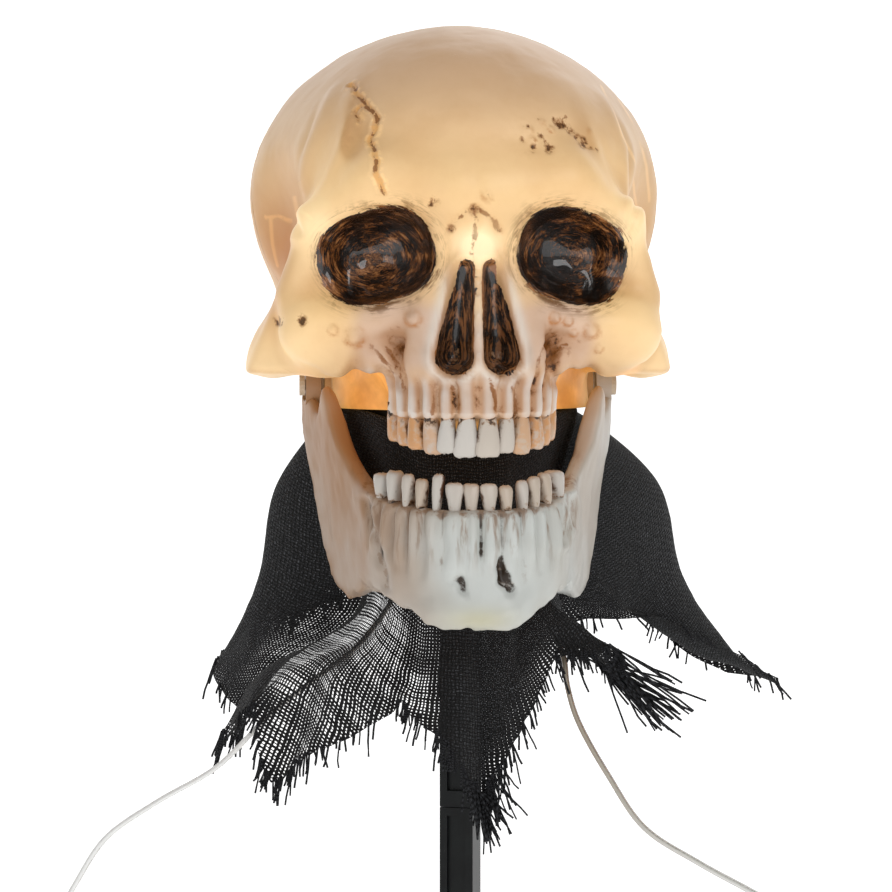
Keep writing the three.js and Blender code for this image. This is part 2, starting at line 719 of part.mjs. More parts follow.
const jawRings = [];
const JAW_STEPS = 42;
for (let i = 0; i <= JAW_STEPS; i++) {
  const run = (JAW_STATIONS.length - 1) * ((2 * i) / JAW_STEPS - 1);
  const [x, y, low, high, thick, lean] = stationAt(run);
  const before = stationAt(run - 0.05);
  const after = stationAt(run + 0.05);
  const away = new THREE.Vector2(after[1] - before[1], before[0] - after[0]).normalize().negate();
  if (away.y > 0 && Math.abs(x) < 30) away.negate();
  if (away.x * x < 0) away.negate();
  const outwards = x < 0 ? -1 : 1;
  jawRings.push(
    JAW_SECTION.map(([across, up]) => {
      const z = low + up * (high - low);
      const shift = outwards * lean * (z - JAW_LEAN_HEIGHT);
      return [x + shift + across * thick * away.x, y + across * thick * away.y, z];
    }),
  );
}
let jaw = solid(skinned(jawRings));
const LOWER_TEETH = [
  [5.2, 4.6, 9],
  [5.4, 4.8, 9],
  [6, 5.5, 10],
  [6, 6, 9],
  [6.2, 6.5, 9],
  [8.4, 7.5, 8],
];
for (const side of [-1, 1]) {
  let run = 0;
  for (const [width, depth, height] of LOWER_TEETH) {
    let travel = 0;
    let station = 0;
    while (travel < run + width / 2 && station < 5.2) {
      const here = stationAt(station);
      const next = stationAt(station + 0.02);
      travel += Math.hypot(next[0] - here[0], next[1] - here[1]);
      station += 0.02;
    }
    run += width + 0.5;
    const [x, y, , high] = stationAt(station);
    const turn = Math.atan2(x, -(y + 30));
    const crown = tooth(width, depth, height)
      .rotateZ(side * turn)
      .translate(side * x, y, high - 0.5);
    jaw = jaw.add(solid(crown));
  }
  jaw = jaw.add(solid(bar(LUG_RADIUS, side * lugInner, side * lugOuter, PIVOT_Y, PIVOT_Z)));
  const trimInner = bar(LUG_RADIUS + 3, side * (lugInner - 8), side * lugInner, PIVOT_Y, PIVOT_Z);
  const trimOuter = bar(PIN_HEAD_RADIUS + 2, side * lugOuter, side * (lugOuter + 8), PIVOT_Y, PIVOT_Z);
  const bore = bar(PIN_RADIUS + FIT, side * (lugInner - 4), side * (lugOuter + 4), PIVOT_Y, PIVOT_Z);
  jaw = without(jaw, trimInner, trimOuter, bore);
}

// Shroud. Its upper edge is tied round the neck collar; it rises a little, passes inside the jaw at the
// front, spreads behind the jaw at the sides and ends in a ragged hem of long tails.
// The hem hangs below its mean level by an amount that runs straight between these directions, in degrees.
const HEM_DROPS = [
  [-180, 24],
  [-171, 13],
  [-161, 2],
  [-149, 31],
  [-133, 15],
  [-117, 0],
  [-98, 17],
  [-83, 38],
  [-70, 6],
  [-55, -14],
  [-43, -18],
  [-36, -8],
  [-31, -12],
  [-24, -16],
  [4, -20],
  [10, -24],
  [14, -22],
  [20, 9],
  [26, 4],
  [30, -8],
  [34, -18],
  [40, -28],
  [50, -34],
  [68, -30],
  [88, -20],
  [108, -30],
  [128, -16],
  [146, -20],
  [162, 4],
  [180, 24],
];
// Tails that swing outwards: direction, half width and reach.
const LONGEST_TAIL = 54;
const FLARES = [
  [20, 7, LONGEST_TAIL],
  [-36, 8, 4],
  [-149, 12, 12],
  [180, 11, 14],
];

function softStep(from, to, value) {
  const t = Math.min(1, Math.max(0, (value - from) / (to - from)));
  return t * t * (3 - 2 * t);
}

function shroudRows(turn) {
  const degrees = THREE.MathUtils.radToDeg(Math.atan2(Math.sin(turn), Math.cos(turn)));
  const behind = softStep(8, 26, degrees) * (1 - softStep(154, 172, degrees));
  const tucked = softStep(-44, -24, degrees) * (1 - softStep(26, 40, degrees));
  const beside = softStep(0.35, 0.95, Math.abs(Math.cos(turn)));
  const gathered = COLLAR_RADIUS + FIT + CLOTH_THICKNESS / 2;
  const tieHeight = collarBottom + LIP_HEIGHT + 1;
  const next = Math.max(
    1,
    HEM_DROPS.findIndex(([at]) => at >= degrees),
  );
  const [before, beforeDrop] = HEM_DROPS[next - 1];
  const [after, afterDrop] = HEM_DROPS[next];
  const drop = beforeDrop + ((degrees - before) / (after - before)) * (afterDrop - beforeDrop);
  const flares = FLARES.map(([at, spread, reach]) => {
    const off = THREE.MathUtils.euclideanModulo(degrees - at + 180, 360) - 180;
    return reach * Math.exp(-((off / spread) ** 2));
  });
  const flare = Math.max(...flares);
  const level = SHROUD_HEM_LEVEL + Math.max(0, -drop);
  const wave = Math.cos(11 * turn + 0.6) + 0.5 * Math.cos(17 * turn + 2);
  const across = Math.cos(turn);
  const mix = (tight, free) => tight + behind * (free - tight);
  const shoulder = mix(-22, -20);
  const sag = (part) => shoulder + part * (level - shoulder);
  const tuck = (radius, held) => radius + tucked * (held - radius);
  const hang = mix(0.875, 0.77) + (0.1 * flare) / LONGEST_TAIL;
  const waist = mix(SHROUD_NECK + 1.5 + 2 * (1 - beside), SHROUD_FREE + 8 + 11 * across);
  const skirt = mix(tuck(SHROUD_NECK + 9 + 20 * beside, SHROUD_NECK + 3), SHROUD_FREE + 14 + 10 * across);
  const hem = mix(tuck(SHROUD_HEM_FRONT + SHROUD_HEM_SIDE * beside, SHROUD_NECK + 5), SHROUD_HEM_BACK);
  return [
    [gathered, tieHeight],
    [gathered + 0.2, tieHeight + 4.5],
    [mix(31, 32), tieHeight + 7.8],
    [mix(SHROUD_NECK + 8 * beside, SHROUD_NECK + 12) + 0.4 * wave, tieHeight + mix(7.6 + 8 * beside, 15.2)],
    [mix(SHROUD_NECK + 0.5, SHROUD_FREE - 1 + 8 * across) + 0.8 * wave, shoulder],
    [waist + 1.5 * wave * (1 - tucked), sag(mix(0.61, 0.5))],
    [skirt + 0.35 * flare + 3 * wave * (1 - tucked), sag(hang)],
    [hem + flare + 4 * wave * (1 - tucked), SHROUD_HEM_LEVEL - drop],
  ];
}

const shroudMiddle = [];
for (let i = 0; i < CLOTH_COLUMNS; i++) {
  const turn = (2 * Math.PI * i) / CLOTH_COLUMNS;
  const place = ([radius, z]) => [radius * Math.cos(turn), BASE_CENTRE + radius * Math.sin(turn), z];
  shroudMiddle.push(shroudRows(turn).map(place));
}
const shroudRings = shroudMiddle.map((column, i) => {
  const left = shroudMiddle[(i + 1) % CLOTH_COLUMNS];
  const right = shroudMiddle[(i + CLOTH_COLUMNS - 1) % CLOTH_COLUMNS];
  const offset = (j, way) => {
    const down = new THREE.Vector3(...column[Math.min(j + 1, column.length - 1)]);
    down.sub(new THREE.Vector3(...column[Math.max(j - 1, 0)]));
    const round = new THREE.Vector3(...left[j]).sub(new THREE.Vector3(...right[j]));
    const normal = round.cross(down).normalize().multiplyScalar((way * CLOTH_THICKNESS) / 2);
    return normal.add(new THREE.Vector3(...column[j])).toArray();
  };
  const outer = column.map((_, j) => offset(j, 1));
  const inner = column.map((_, j) => offset(j, -1));
  return [...outer, ...inner.toReversed()];
});
const shroud = skinned(shroudRings, true);
const tieBottom = collarBottom + LIP_HEIGHT + 1;
const tieInner = COLLAR_RADIUS + CLOTH_THICKNESS + 3 * FIT + 0.2;
const shroudTie = turned(
  [
    [tieInner, tieBottom],
    [tieInner + SHROUD_TIE_THICKNESS, tieBottom],
    [tieInner + SHROUD_TIE_THICKNESS, tieBottom + SHROUD_TIE_HEIGHT],
    [tieInner, tieBottom + SHROUD_TIE_HEIGHT],
    [tieInner, tieBottom],
  ],
  [0, BASE_CENTRE],
  28,
);

// Stake.

function panels(from, to) {
  const length = to - from;
  return [-1, 1].map((side) =>
    box(PANEL_WIDTH, 2 * PANEL_DEPTH, length, [0, (side * STAKE_SIDE) / 2, from + length / 2]),
  );
}

const spikeShaft = SPIKE_TOP + SPIKE_DEPTH - SPIKE_TIP;
const tip = new THREE.CylinderGeometry(STAKE_SIDE / Math.SQRT2, SPIKE_POINT / Math.SQRT2, SPIKE_TIP, 4)
  .rotateY(Math.PI / 4)
  .rotateX(Math.PI / 2)
  .translate(0, 0, SPIKE_TIP / 2 - SPIKE_DEPTH);
let spike = joined(box(STAKE_SIDE, STAKE_SIDE, spikeShaft, [0, 0, SPIKE_TOP - spikeShaft / 2]), tip);
spike = without(spike, ...panels(SPIKE_TIP + 6 - SPIKE_DEPTH, SPIKE_TOP - PANEL_LIP));
const slotLength = TONGUE_LENGTH + FIT + 1;
const slotAt = [0, 0, SPIKE_TOP + 1 - slotLength / 2];
spike = without(spike, box(TONGUE_WIDTH + 2 * FIT, TONGUE_THICKNESS + 2 * FIT, slotLength, slotAt));
const poleBottom = SPIKE_TOP + FIT;
const poleEnd = SKULL_HEIGHT + poleTop;
const poleLength = poleEnd - poleBottom;
const tongueTop = poleBottom + 1;
const tongueRun = TONGUE_LENGTH + 1;
let pole = joined(
  box(STAKE_SIDE, STAKE_SIDE, poleLength, [0, 0, poleBottom + poleLength / 2]),
  box(TONGUE_WIDTH, TONGUE_THICKNESS, tongueRun, [0, 0, tongueTop - tongueRun / 2]),
);
pole = without(pole, ...panels(poleBottom + 2 * PANEL_LIP, SKULL_HEIGHT + collarBottom - 2 * PANEL_LIP));

// Cords. The points of each route after its exit are in the part's own frame.

const LEAD_ROUTE = [
  [-18, 11, 168],
  [-25, 6, 148],
  [-39, -2, 131],
  [-55, -9, 120],
  [-71, -14, 108],
  [-90, -19, 90],
  [-112, -24, 78],
  [-130, -27, 66],
  [-141, -28, 50],
  [-151, -27, 31],
  [-158, -22, 14],
  [-161, -11, 5],
  [-160, 6, 3.1],
  [-156, 25, 3.1],
];
const LINK_ROUTE = [
  [17, 9, 170],
  [22, 0, 155],
  [30, -15, 143],
  [35.5, -26, 131],
  [37, -30, 119],
  [41, -33, 106],
  [51, -36, 88],
  [64, -39, 69],
  [84, -41, 56],
  [110, -38, 41],
  [134, -30, 23],
  [150, -18, 9],
  [157, -2, 3.8],
  [157, 20, 3.1],
];

// A flat tube along points; the width of its section follows the hints, one for each point.
function flatTube(points, hints, sides) {
  const rings = points.map((point, i) => {
    const here = new THREE.Vector3(...point);
    const ahead = new THREE.Vector3(...points[Math.min(i + 1, points.length - 1)]);
    const behind = new THREE.Vector3(...points[Math.max(i - 1, 0)]);
    const along = ahead.sub(behind).normalize();
    const hint = new THREE.Vector3(...hints[i]);
    const wide = hint.clone().addScaledVector(along, -along.dot(hint)).normalize();
    const thin = new THREE.Vector3().crossVectors(along, wide);
    return Array.from({ length: sides }, (_, k) => {
      const angle = (2 * Math.PI * k) / sides;
      return here
        .clone()
        .addScaledVector(wide, (CORD_WIDTH / 2) * Math.cos(angle))
        .addScaledVector(thin, (CORD_THICKNESS / 2) * Math.sin(angle))
        .toArray();
    });
  });
  return skinned(rings);
}

// A coil of flat cord on edge in two layers: it spirals in, climbs over half a turn and spirals out again.
// It starts heading along +Y and ends heading along -Y on the side nearer the stake.
function coilPoints(side, innerRadius, turns) {
  const centre = [side * COIL_SIDE, COIL_BACK];
  const steps = Math.round(2 * turns * 20);
  const low = COIL_LIFT + CORD_WIDTH / 2;
  const outer = innerRadius + turns * COIL_PITCH;
  const points = [[centre[0] + side * outer, centre[1] - 2 * CORD_WIDTH, low]];
  points.push([centre[0] + side * outer, centre[1] - CORD_WIDTH, low]);
  for (let i = 0; i <= steps; i++) {
    const run = (2 * turns * i) / steps - turns;
    const angle = 2 * Math.PI * (run + turns);
    const radius = innerRadius + COIL_PITCH * Math.abs(run);
    const climb = COIL_LAYER * softStep(-0.25, 0.25, run);
    points.push([
      centre[0] + side * radius * Math.cos(angle),
      centre[1] + radius * Math.sin(angle),
      low + climb,
    ]);
  }
  const [x, y, z] = points[points.length - 1];
  for (let i = 1; i <= 3; i++) points.push([x, y - (COIL_TAIL * i) / 3, z]);
  return points;
}

function routePoints(side, route, end) {
  const exit = [side * EXIT_SIDE, BASE_CENTRE, SKULL_HEIGHT + reliefEnd - FIT];
  const start = [exit, [exit[0], exit[1], exit[2] - CORD_WIDTH]];
  const finish = [
    [end[0], end[1] - FIT - CORD_WIDTH, end[2]],
    [end[0], end[1] - FIT, end[2]],
  ];
  const vectors = [...start, ...route, ...finish].map((point) => new THREE.Vector3(...point));
  const curve = new THREE.CatmullRomCurve3(vectors, false, "catmullrom", 0.5);
  const length = curve.getLength();
  const steps = Math.round(length / (2 * CORD_WIDTH));
  return { points: curve.getSpacedPoints(steps).map((v) => v.toArray()), length };
}

function pathLength(points) {
  let length = 0;
  for (let i = 1; i < points.length; i++)
    length += Math.hypot(...points[i].map((value, k) => value - points[i - 1][k]));
  return length;
}

// Least gap of a coil to itself, between surface points at least half a turn apart.
function leastGap(points) {
  let least = Infinity;
  const ring = points.map((point, i) => {
    const ahead = points[Math.min(i + 1, points.length - 1)];
    const behind = points[Math.max(i - 1, 0)];
    const along = new THREE.Vector2(ahead[0] - behind[0], ahead[1] - behind[1]).normalize();
    return Array.from({ length: 12 }, (_, k) => {
      const angle = (2 * Math.PI * k) / 12;
      const across = (CORD_THICKNESS / 2) * Math.sin(angle);
      const rise = (CORD_WIDTH / 2) * Math.cos(angle);
      return [point[0] - along.y * across, point[1] + along.x * across, point[2] + rise];
    });
  });
  for (let i = 0; i < ring.length; i++)
    for (let j = i + 10; j < ring.length; j++)
      for (const a of ring[i])
        for (const b of ring[j]) least = Math.min(least, Math.hypot(a[0] - b[0], a[1] - b[1], a[2] - b[2]));
  return least;
}

function cordPieces(side, route, innerRadius, turns) {
  const coil = coilPoints(side, innerRadius, turns);
  const { points, length } = routePoints(side, route, coil[0]);
  const freeHints = points.map((_, i) => {
    const turnUp = softStep(0.55, 0.85, i / (points.length - 1));
    return [0.2 * (1 - turnUp), 1 - turnUp, turnUp];
  });
  const coilHints = coil.map(() => [0, 0, 1]);
  return {
    free: flatTube(points, freeHints, 8),
    coil: flatTube(coil, coilHints, 6),
    end: coil[coil.length - 1],
    total: length + pathLength(coil),
    gap: leastGap(coil),
    outer: innerRadius + turns * COIL_PITCH,
    inner: innerRadius,
  };
}

const lead = cordPieces(-1, LEAD_ROUTE, LEAD_COIL_INNER, LEAD_COIL_TURNS);
const link = cordPieces(1, LINK_ROUTE, LINK_COIL_INNER, LINK_COIL_TURNS);
console.log(`lead cord ${lead.total.toFixed(0)} mm, least gap in its coil ${lead.gap.toFixed(2)} mm`);
console.log(`link cord ${link.total.toFixed(0)} mm, least gap in its coil ${link.gap.toFixed(2)} mm`);

// A band round the turns of a coil, across its rear.
function coilTie(side, cord) {
  const slack = 0.6;
  const near = COIL_BACK + cord.inner - COIL_PITCH * 0.2 - CORD_THICKNESS / 2 - slack;
  const far = COIL_BACK + cord.outer + CORD_THICKNESS / 2 + slack + 0.4;
  const top = COIL_LIFT + COIL_LAYER + CORD_WIDTH + slack;
  const bottom = COIL_LIFT - FIT;
  const depth = far - near;
  const height = top - bottom;
  const at = [side * COIL_SIDE, (near + far) / 2, (top + bottom) / 2];
  const grow = 2 * TIE_THICKNESS;
  return shape(
    without(
      joined(box(TIE_WIDTH, depth + grow, height + grow, at)),
      box(TIE_WIDTH + 2, depth, height, at),
    ),
  );
}

// Plug with two flat blades, and the socket that takes such a plug; both point along -Y.
const PLUG_LENGTH = 24;
const PLUG_WIDTH = 17;
const PLUG_HEIGHT = 13;
const BLADE_LENGTH = 14;
const BLADE_WIDTH = 6;
const BLADE_THICKNESS = 1.5;
const BLADE_SPACING = 8;

function plugBody(end) {
  const front = end[1] - FIT - PLUG_LENGTH;
  const section = new THREE.Shape();
  section.moveTo(-PLUG_WIDTH * 0.28, 0);
  section.lineTo(PLUG_WIDTH * 0.28, 0);
  section.lineTo(PLUG_WIDTH * 0.4, -PLUG_LENGTH * 0.35);
  section.lineTo(PLUG_WIDTH * 0.5, -PLUG_LENGTH * 0.55);
  section.lineTo(PLUG_WIDTH * 0.5, -PLUG_LENGTH);
  section.lineTo(-PLUG_WIDTH * 0.5, -PLUG_LENGTH);
  section.lineTo(-PLUG_WIDTH * 0.5, -PLUG_LENGTH * 0.55);
  section.lineTo(-PLUG_WIDTH * 0.4, -PLUG_LENGTH * 0.35);
  const body = new THREE.ExtrudeGeometry(section, { depth: PLUG_HEIGHT, bevelEnabled: false });
  body.translate(end[0], front + PLUG_LENGTH, end[2] - PLUG_HEIGHT / 2);
  return { body, front };
}

function blade(end, side, grow, from, length) {
  const at = [end[0] + (side * BLADE_SPACING) / 2, from - length / 2, end[2]];
  return box(BLADE_THICKNESS + grow, length, BLADE_WIDTH + grow, at);
}

const plug = plugBody(lead.end);
const plugHold = 8;
let plugSolid = solid(plug.body);
for (const side of [-1, 1]) {
  const seat = blade(lead.end, side, 2 * FIT, plug.front + plugHold + FIT, plugHold + FIT + 1);
  plugSolid = without(plugSolid, seat);
}
const outlet = plugBody(link.end);
let outletSolid = solid(outlet.body);
for (const side of [-1, 1]) {
  const slot = blade(link.end, side, 1, outlet.front + BLADE_LENGTH, BLADE_LENGTH + 1);
  outletSolid = without(outletSolid, slot);
}

// Materials and the scene graph.

function finish(color, roughness, metalness = 0) {
  return () => new THREE.MeshStandardMaterial({ color, roughness, metalness });
}

const glowingShell = finish("#dcc9ae", 0.5);
const jawPlastic = finish("#c9c6bf", 0.55);
const blackPlastic = finish("#17181a", 0.3);
const burlap = finish("#141416", 0.95);
const steel = finish("#b9bcc0", 0.35, 1);
const clearCord = finish("#cfc8bd", 0.25);

const part = new THREE.Group();
part.name = "skull_stake";
const skull = new THREE.Group();
skull.name = "skull";
skull.position.z = SKULL_HEIGHT;
const stake = new THREE.Group();
stake.name = "stake";
stake.rotation.z = stakeTurn;
const cords = new THREE.Group();
cords.name = "cords";
part.add(stake, skull, cords);

function place(group, name, geometry, look) {
  const mesh = new THREE.Mesh(geometry, look());
  mesh.name = name;
  group.add(mesh);
}

place(stake, "stake_spike", shape(spike), blackPlastic);
place(stake, "stake_pole", shape(pole), blackPlastic);
place(skull, "face_shell", shape(face), glowingShell);
place(skull, "cranium_shell", shape(cranium), glowingShell);
place(skull, "base_plate", shape(plate), blackPlastic);
screwPlaces.forEach((at, i) => place(skull, `base_screw_${i + 1}`, screwAt(at), steel));
place(skull, "lamp_holder", shape(holder), finish("#202022", 0.5));
lampScrewPlaces.forEach((at, i) => place(skull, `holder_screw_${i + 1}`, lampScrewAt(at), steel));
place(skull, "bulb_cap", cap, finish("#c9b36a", 0.35, 1));
place(skull, "bulb_glass", glass, finish("#fff1cf", 0.1));
for (const [side, name] of [
  [-1, "left"],
  [1, "right"],
]) {
  place(skull, `wire_${name}`, wireAt(side), finish("#c8b08a", 0.4));
  place(skull, `relief_${name}`, reliefAt(side), finish("#1b1b1c", 0.6));
  place(skull, `jaw_washer_${name}`, washerAt(side), finish("#e4e1d8", 0.5));
  place(skull, `jaw_pin_${name}`, pinAt(side), jawPlastic);
}
place(skull, "jaw", shape(jaw), jawPlastic);
place(skull, "burlap_shroud", shroud, burlap);
place(skull, "shroud_tie", shroudTie, finish("#101011", 0.5));
place(cords, "lead_cord", lead.free, clearCord);
place(cords, "lead_coil", lead.coil, clearCord);
place(cords, "lead_tie", coilTie(-1, lead), finish("#101011", 0.5));
place(cords, "lead_plug", shape(plugSolid), finish("#d8d4cb", 0.4));
for (const side of [-1, 1]) {
  const prong = blade(lead.end, side, 0, plug.front + plugHold, plugHold + BLADE_LENGTH);
  place(cords, `plug_blade_${side < 0 ? 1 : 2}`, prong, finish("#cdb87a", 0.3, 1));
}
place(cords, "link_cord", link.free, clearCord);
place(cords, "link_coil", link.coil, clearCord);
place(cords, "link_tie", coilTie(1, link), finish("#101011", 0.5));
place(cords, "link_socket", shape(outletSolid), finish("#d8d4cb", 0.4));

export default part;
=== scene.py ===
import math

import bpy
import numpy as np
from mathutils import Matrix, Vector


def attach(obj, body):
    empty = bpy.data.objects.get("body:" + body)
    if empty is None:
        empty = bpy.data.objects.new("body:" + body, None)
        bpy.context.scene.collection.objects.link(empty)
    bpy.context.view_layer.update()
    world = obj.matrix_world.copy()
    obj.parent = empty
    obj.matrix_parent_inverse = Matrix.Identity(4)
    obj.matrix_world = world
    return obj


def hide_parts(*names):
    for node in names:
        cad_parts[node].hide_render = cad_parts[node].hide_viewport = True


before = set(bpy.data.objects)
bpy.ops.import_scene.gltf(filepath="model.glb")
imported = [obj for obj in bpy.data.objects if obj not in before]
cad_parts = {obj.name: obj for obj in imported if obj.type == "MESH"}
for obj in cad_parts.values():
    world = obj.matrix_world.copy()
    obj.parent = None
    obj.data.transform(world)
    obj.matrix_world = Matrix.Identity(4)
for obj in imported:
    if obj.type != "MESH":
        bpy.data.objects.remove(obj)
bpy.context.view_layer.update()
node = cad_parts
scene = bpy.context.scene
scene.view_settings.view_transform = "Standard"

# Height of the skull's own datum, in metres.
DATUM = 0.210
# The picture's view, in millimetres and degrees: the camera's distance, what it looks at and what it spans.
VIEW_DISTANCE = 1200
VIEW_MIDDLE = (-5.3, 0, 205.6)
VIEW_WIDTH = 330.4
VIEW_AZIMUTH = -4
VIEW_ELEVATION = 3
SENSOR_WIDTH = 36


def link(obj):
    scene.collection.objects.link(obj)
    return obj


def aim(obj, target, azimuth, elevation, distance):
    """Stands an object off from a target, in metres, and turns it to look at the target."""
    a, e = math.radians(azimuth), math.radians(elevation)
    way = Vector((math.sin(a) * math.cos(e), -math.cos(a) * math.cos(e), math.sin(e)))
    obj.location = Vector(target) + distance * way
    obj.rotation_euler = (-way).to_track_quat("-Z", "Y").to_euler()


camera = link(bpy.data.objects.new("camera", bpy.data.cameras.new("camera")))
camera.data.sensor_width = SENSOR_WIDTH
camera.data.lens = SENSOR_WIDTH * VIEW_DISTANCE / VIEW_WIDTH
aim(camera, [0.001 * v for v in VIEW_MIDDLE], VIEW_AZIMUTH, VIEW_ELEVATION, 0.001 * VIEW_DISTANCE)
scene.camera = camera


# Node materials.
class Look:
    def __init__(self, name, **values):
        self.material = bpy.data.materials.new(name)
        self.material.use_nodes = True
        self.tree = self.material.node_tree
        self.tree.nodes.clear()
        self.out = self.tree.nodes.new("ShaderNodeOutputMaterial")
        self.shader = self.tree.nodes.new("ShaderNodeBsdfPrincipled")
        self.tree.links.new(self.shader.outputs[0], self.out.inputs[0])
        for key, value in values.items():
            self.set(key.replace("_", " "), value)

    def feed(self, socket, value):
        """Links a socket to another node's output, or gives it a constant."""
        if isinstance(value, bpy.types.NodeSocket):
            self.tree.links.new(value, socket)
        else:
            socket.default_value = value

    def set(self, key, value):
        self.feed(self.shader.inputs[key], value)

    def node(self, kind, inputs=(), **settings):
        made = self.tree.nodes.new(kind)
        for key, value in settings.items():
            setattr(made, key, value)
        for key, value in dict(inputs).items():
            self.feed(made.inputs[key], value)
        return made

    def mask(self, name):
        return self.node("ShaderNodeAttribute", attribute_name=name).outputs["Fac"]

    def vector(self, name):
        return self.node("ShaderNodeAttribute", attribute_name=name).outputs["Vector"]

    def place(self, scale=(1, 1, 1)):
        """The object's own coordinates, scaled."""
        coordinates = self.node("ShaderNodeTexCoord").outputs["Object"]
        return self.node("ShaderNodeMapping", {"Vector": coordinates, "Scale": scale}).outputs[0]

    def noise(self, scale, detail=3, roughness=0.55, distortion=0, vector=None):
        values = {"Scale": scale, "Detail": detail, "Roughness": roughness, "Distortion": distortion}
        values["Vector"] = vector or self.place()
        return self.node("ShaderNodeTexNoise", values).outputs["Fac"]

    def math(self, operation, a, b=0.0, c=0.0, clamp=False):
        return self.node("ShaderNodeMath", {0: a, 1: b, 2: c}, operation=operation,
                         use_clamp=clamp).outputs[0]

    def span(self, value, low, high, to_low=0.0, to_high=1.0):
        """A soft step between two values."""
        values = {"Value": value, "From Min": low, "From Max": high, "To Min": to_low, "To Max": to_high}
        return self.node("ShaderNodeMapRange", values, interpolation_type="SMOOTHSTEP").outputs[0]

    def mix(self, share, a, b):
        return self.node("ShaderNodeMix", {0: share, 6: a, 7: b}, data_type="RGBA").outputs[2]

    def times(self, a, b):
        return self.math("MULTIPLY", a, b)

    def plus(self, a, b):
        return self.math("ADD", a, b)

    def most(self, a, b, clamp=False):
        return self.math("MAXIMUM", a, b, clamp=clamp)

    def gain(self, a, b, base):
        """a times b, on top of base."""
        return self.math("MULTIPLY_ADD", a, b, base)

    def bump(self, height, strength, distance=0.001):
        values = {"Height": height, "Strength": strength, "Distance": distance}
        self.set("Normal", self.node("ShaderNodeBump", values).outputs[0])


def shade(red, green, blue):
    """A colour given as it looks on a screen, 0 to 255."""
    parts = [value / 255 for value in (red, green, blue)]
    return tuple(v / 12.92 if v <= 0.04045 else ((v + 0.055) / 1.055) ** 2.4 for v in parts) + (1,)


def dress(obj, look):
    obj.data.materials.clear()
    obj.data.materials.append(look.material)


# Meshes.
def mesh_object(name, points, faces, smooth=True):
    """Points in metres, faces an array of quads (n, 4) or a list of index lists."""
    mesh = bpy.data.meshes.new(name)
    if isinstance(faces, np.ndarray):
        mesh.vertices.add(len(points))
        mesh.vertices.foreach_set("co", np.asarray(points, np.float32).ravel())
        mesh.loops.add(faces.size)
        mesh.loops.foreach_set("vertex_index", faces.astype(np.int32).ravel())
        mesh.polygons.add(len(faces))
        mesh.polygons.foreach_set("loop_start", np.arange(0, faces.size, faces.shape[1], dtype=np.int32))
        mesh.update(calc_edges=True)
    else:
        mesh.from_pydata([tuple(p) for p in points], [], faces)
    mesh.validate()
    mesh.polygons.foreach_set("use_smooth", np.full(len(mesh.polygons), smooth))
    return link(bpy.data.objects.new(name, mesh))


def vectors(items, key):
    """Three numbers of each item of a mesh's list, as rows."""
    values = np.zeros(len(items) * 3, np.float32)
    items.foreach_get(key, values)
    return values.reshape(-1, 3)


def paint(obj, name, values):
    """Keeps a number, or three, for each point of a mesh, for its material to read."""
    kind = "FLOAT" if np.ndim(values) == 1 else "FLOAT_VECTOR"
    attribute = obj.data.attributes.new(name, kind, "POINT")
    key = "value" if kind == "FLOAT" else "vector"
    attribute.data.foreach_set(key, np.asarray(values, np.float32).ravel())


def cut(obj, *steps):
    """Applies a chain of boolean steps, each ("DIFFERENCE" | "INTERSECT" | "UNION", object)."""
    for operation, other in steps:
        modifier = obj.modifiers.new(operation, "BOOLEAN")
        modifier.operation = operation
        modifier.object = other
        modifier.solver = "MANIFOLD"
    graph = bpy.context.evaluated_depsgraph_get()
    graph.update()
    made = bpy.data.meshes.new_from_object(obj.evaluated_get(graph))
    obj.modifiers.clear()
    obj.data = made
    for _, other in steps:
        bpy.data.objects.remove(other)
    return obj


def join(first, *others):
    with bpy.context.temp_override(active_object=first, selected_editable_objects=[first, *others]):
        bpy.ops.object.join()
    return first


def block(low, high):
    """A cutter: a box between two corners."""
    points = [(x, y, z) for x in (low[0], high[0]) for y in (low[1], high[1]) for z in (low[2], high[2])]
    faces = [[0, 1, 3, 2], [4, 6, 7, 5], [0, 4, 5, 1], [2, 3, 7, 6], [0, 2, 6, 4], [1, 5, 7, 3]]
    return mesh_object("cutter", np.array(points), faces, False)


def rod(radius, low, high, axis, centre, sides=48):
    """A cutter: a round bar along an axis between two places."""
    turn = np.linspace(0, 2 * np.pi, sides, endpoint=False)
    b, c = (axis + 1) % 3, (axis + 2) % 3
    radii = radius if hasattr(radius, "__len__") else (radius, radius)
    points = np.zeros((2 * sides, 3))
    for k, end in enumerate((low, high)):
        ring = points[k * sides : (k + 1) * sides]
        ring[:, axis] = end
        ring[:, b] = centre[0] + radii[0] * np.cos(turn)
        ring[:, c] = centre[1] + radii[1] * np.sin(turn)
    faces = [[i, (i + 1) % sides, sides + (i + 1) % sides, sides + i] for i in range(sides)]
    faces += [list(range(sides))[::-1], list(range(sides, 2 * sides))]
    return mesh_object("cutter", points, faces, False)


def tube(points, wide, section):
    """Rings of a section (across, through), in metres, along points; wide is near each ring's width."""
    points = np.asarray(points, float)
    along = np.gradient(points, axis=0)
    along /= np.linalg.norm(along, axis=1)[:, None]
    wide = np.asarray(wide, float) - along * np.sum(along * wide, axis=1)[:, None]
    wide /= np.linalg.norm(wide, axis=1)[:, None]
    thin = np.cross(along, wide)
    across, through = np.asarray(section).T
    return points[:, None] + wide[:, None] * across[:, None] + thin[:, None] * through[:, None]


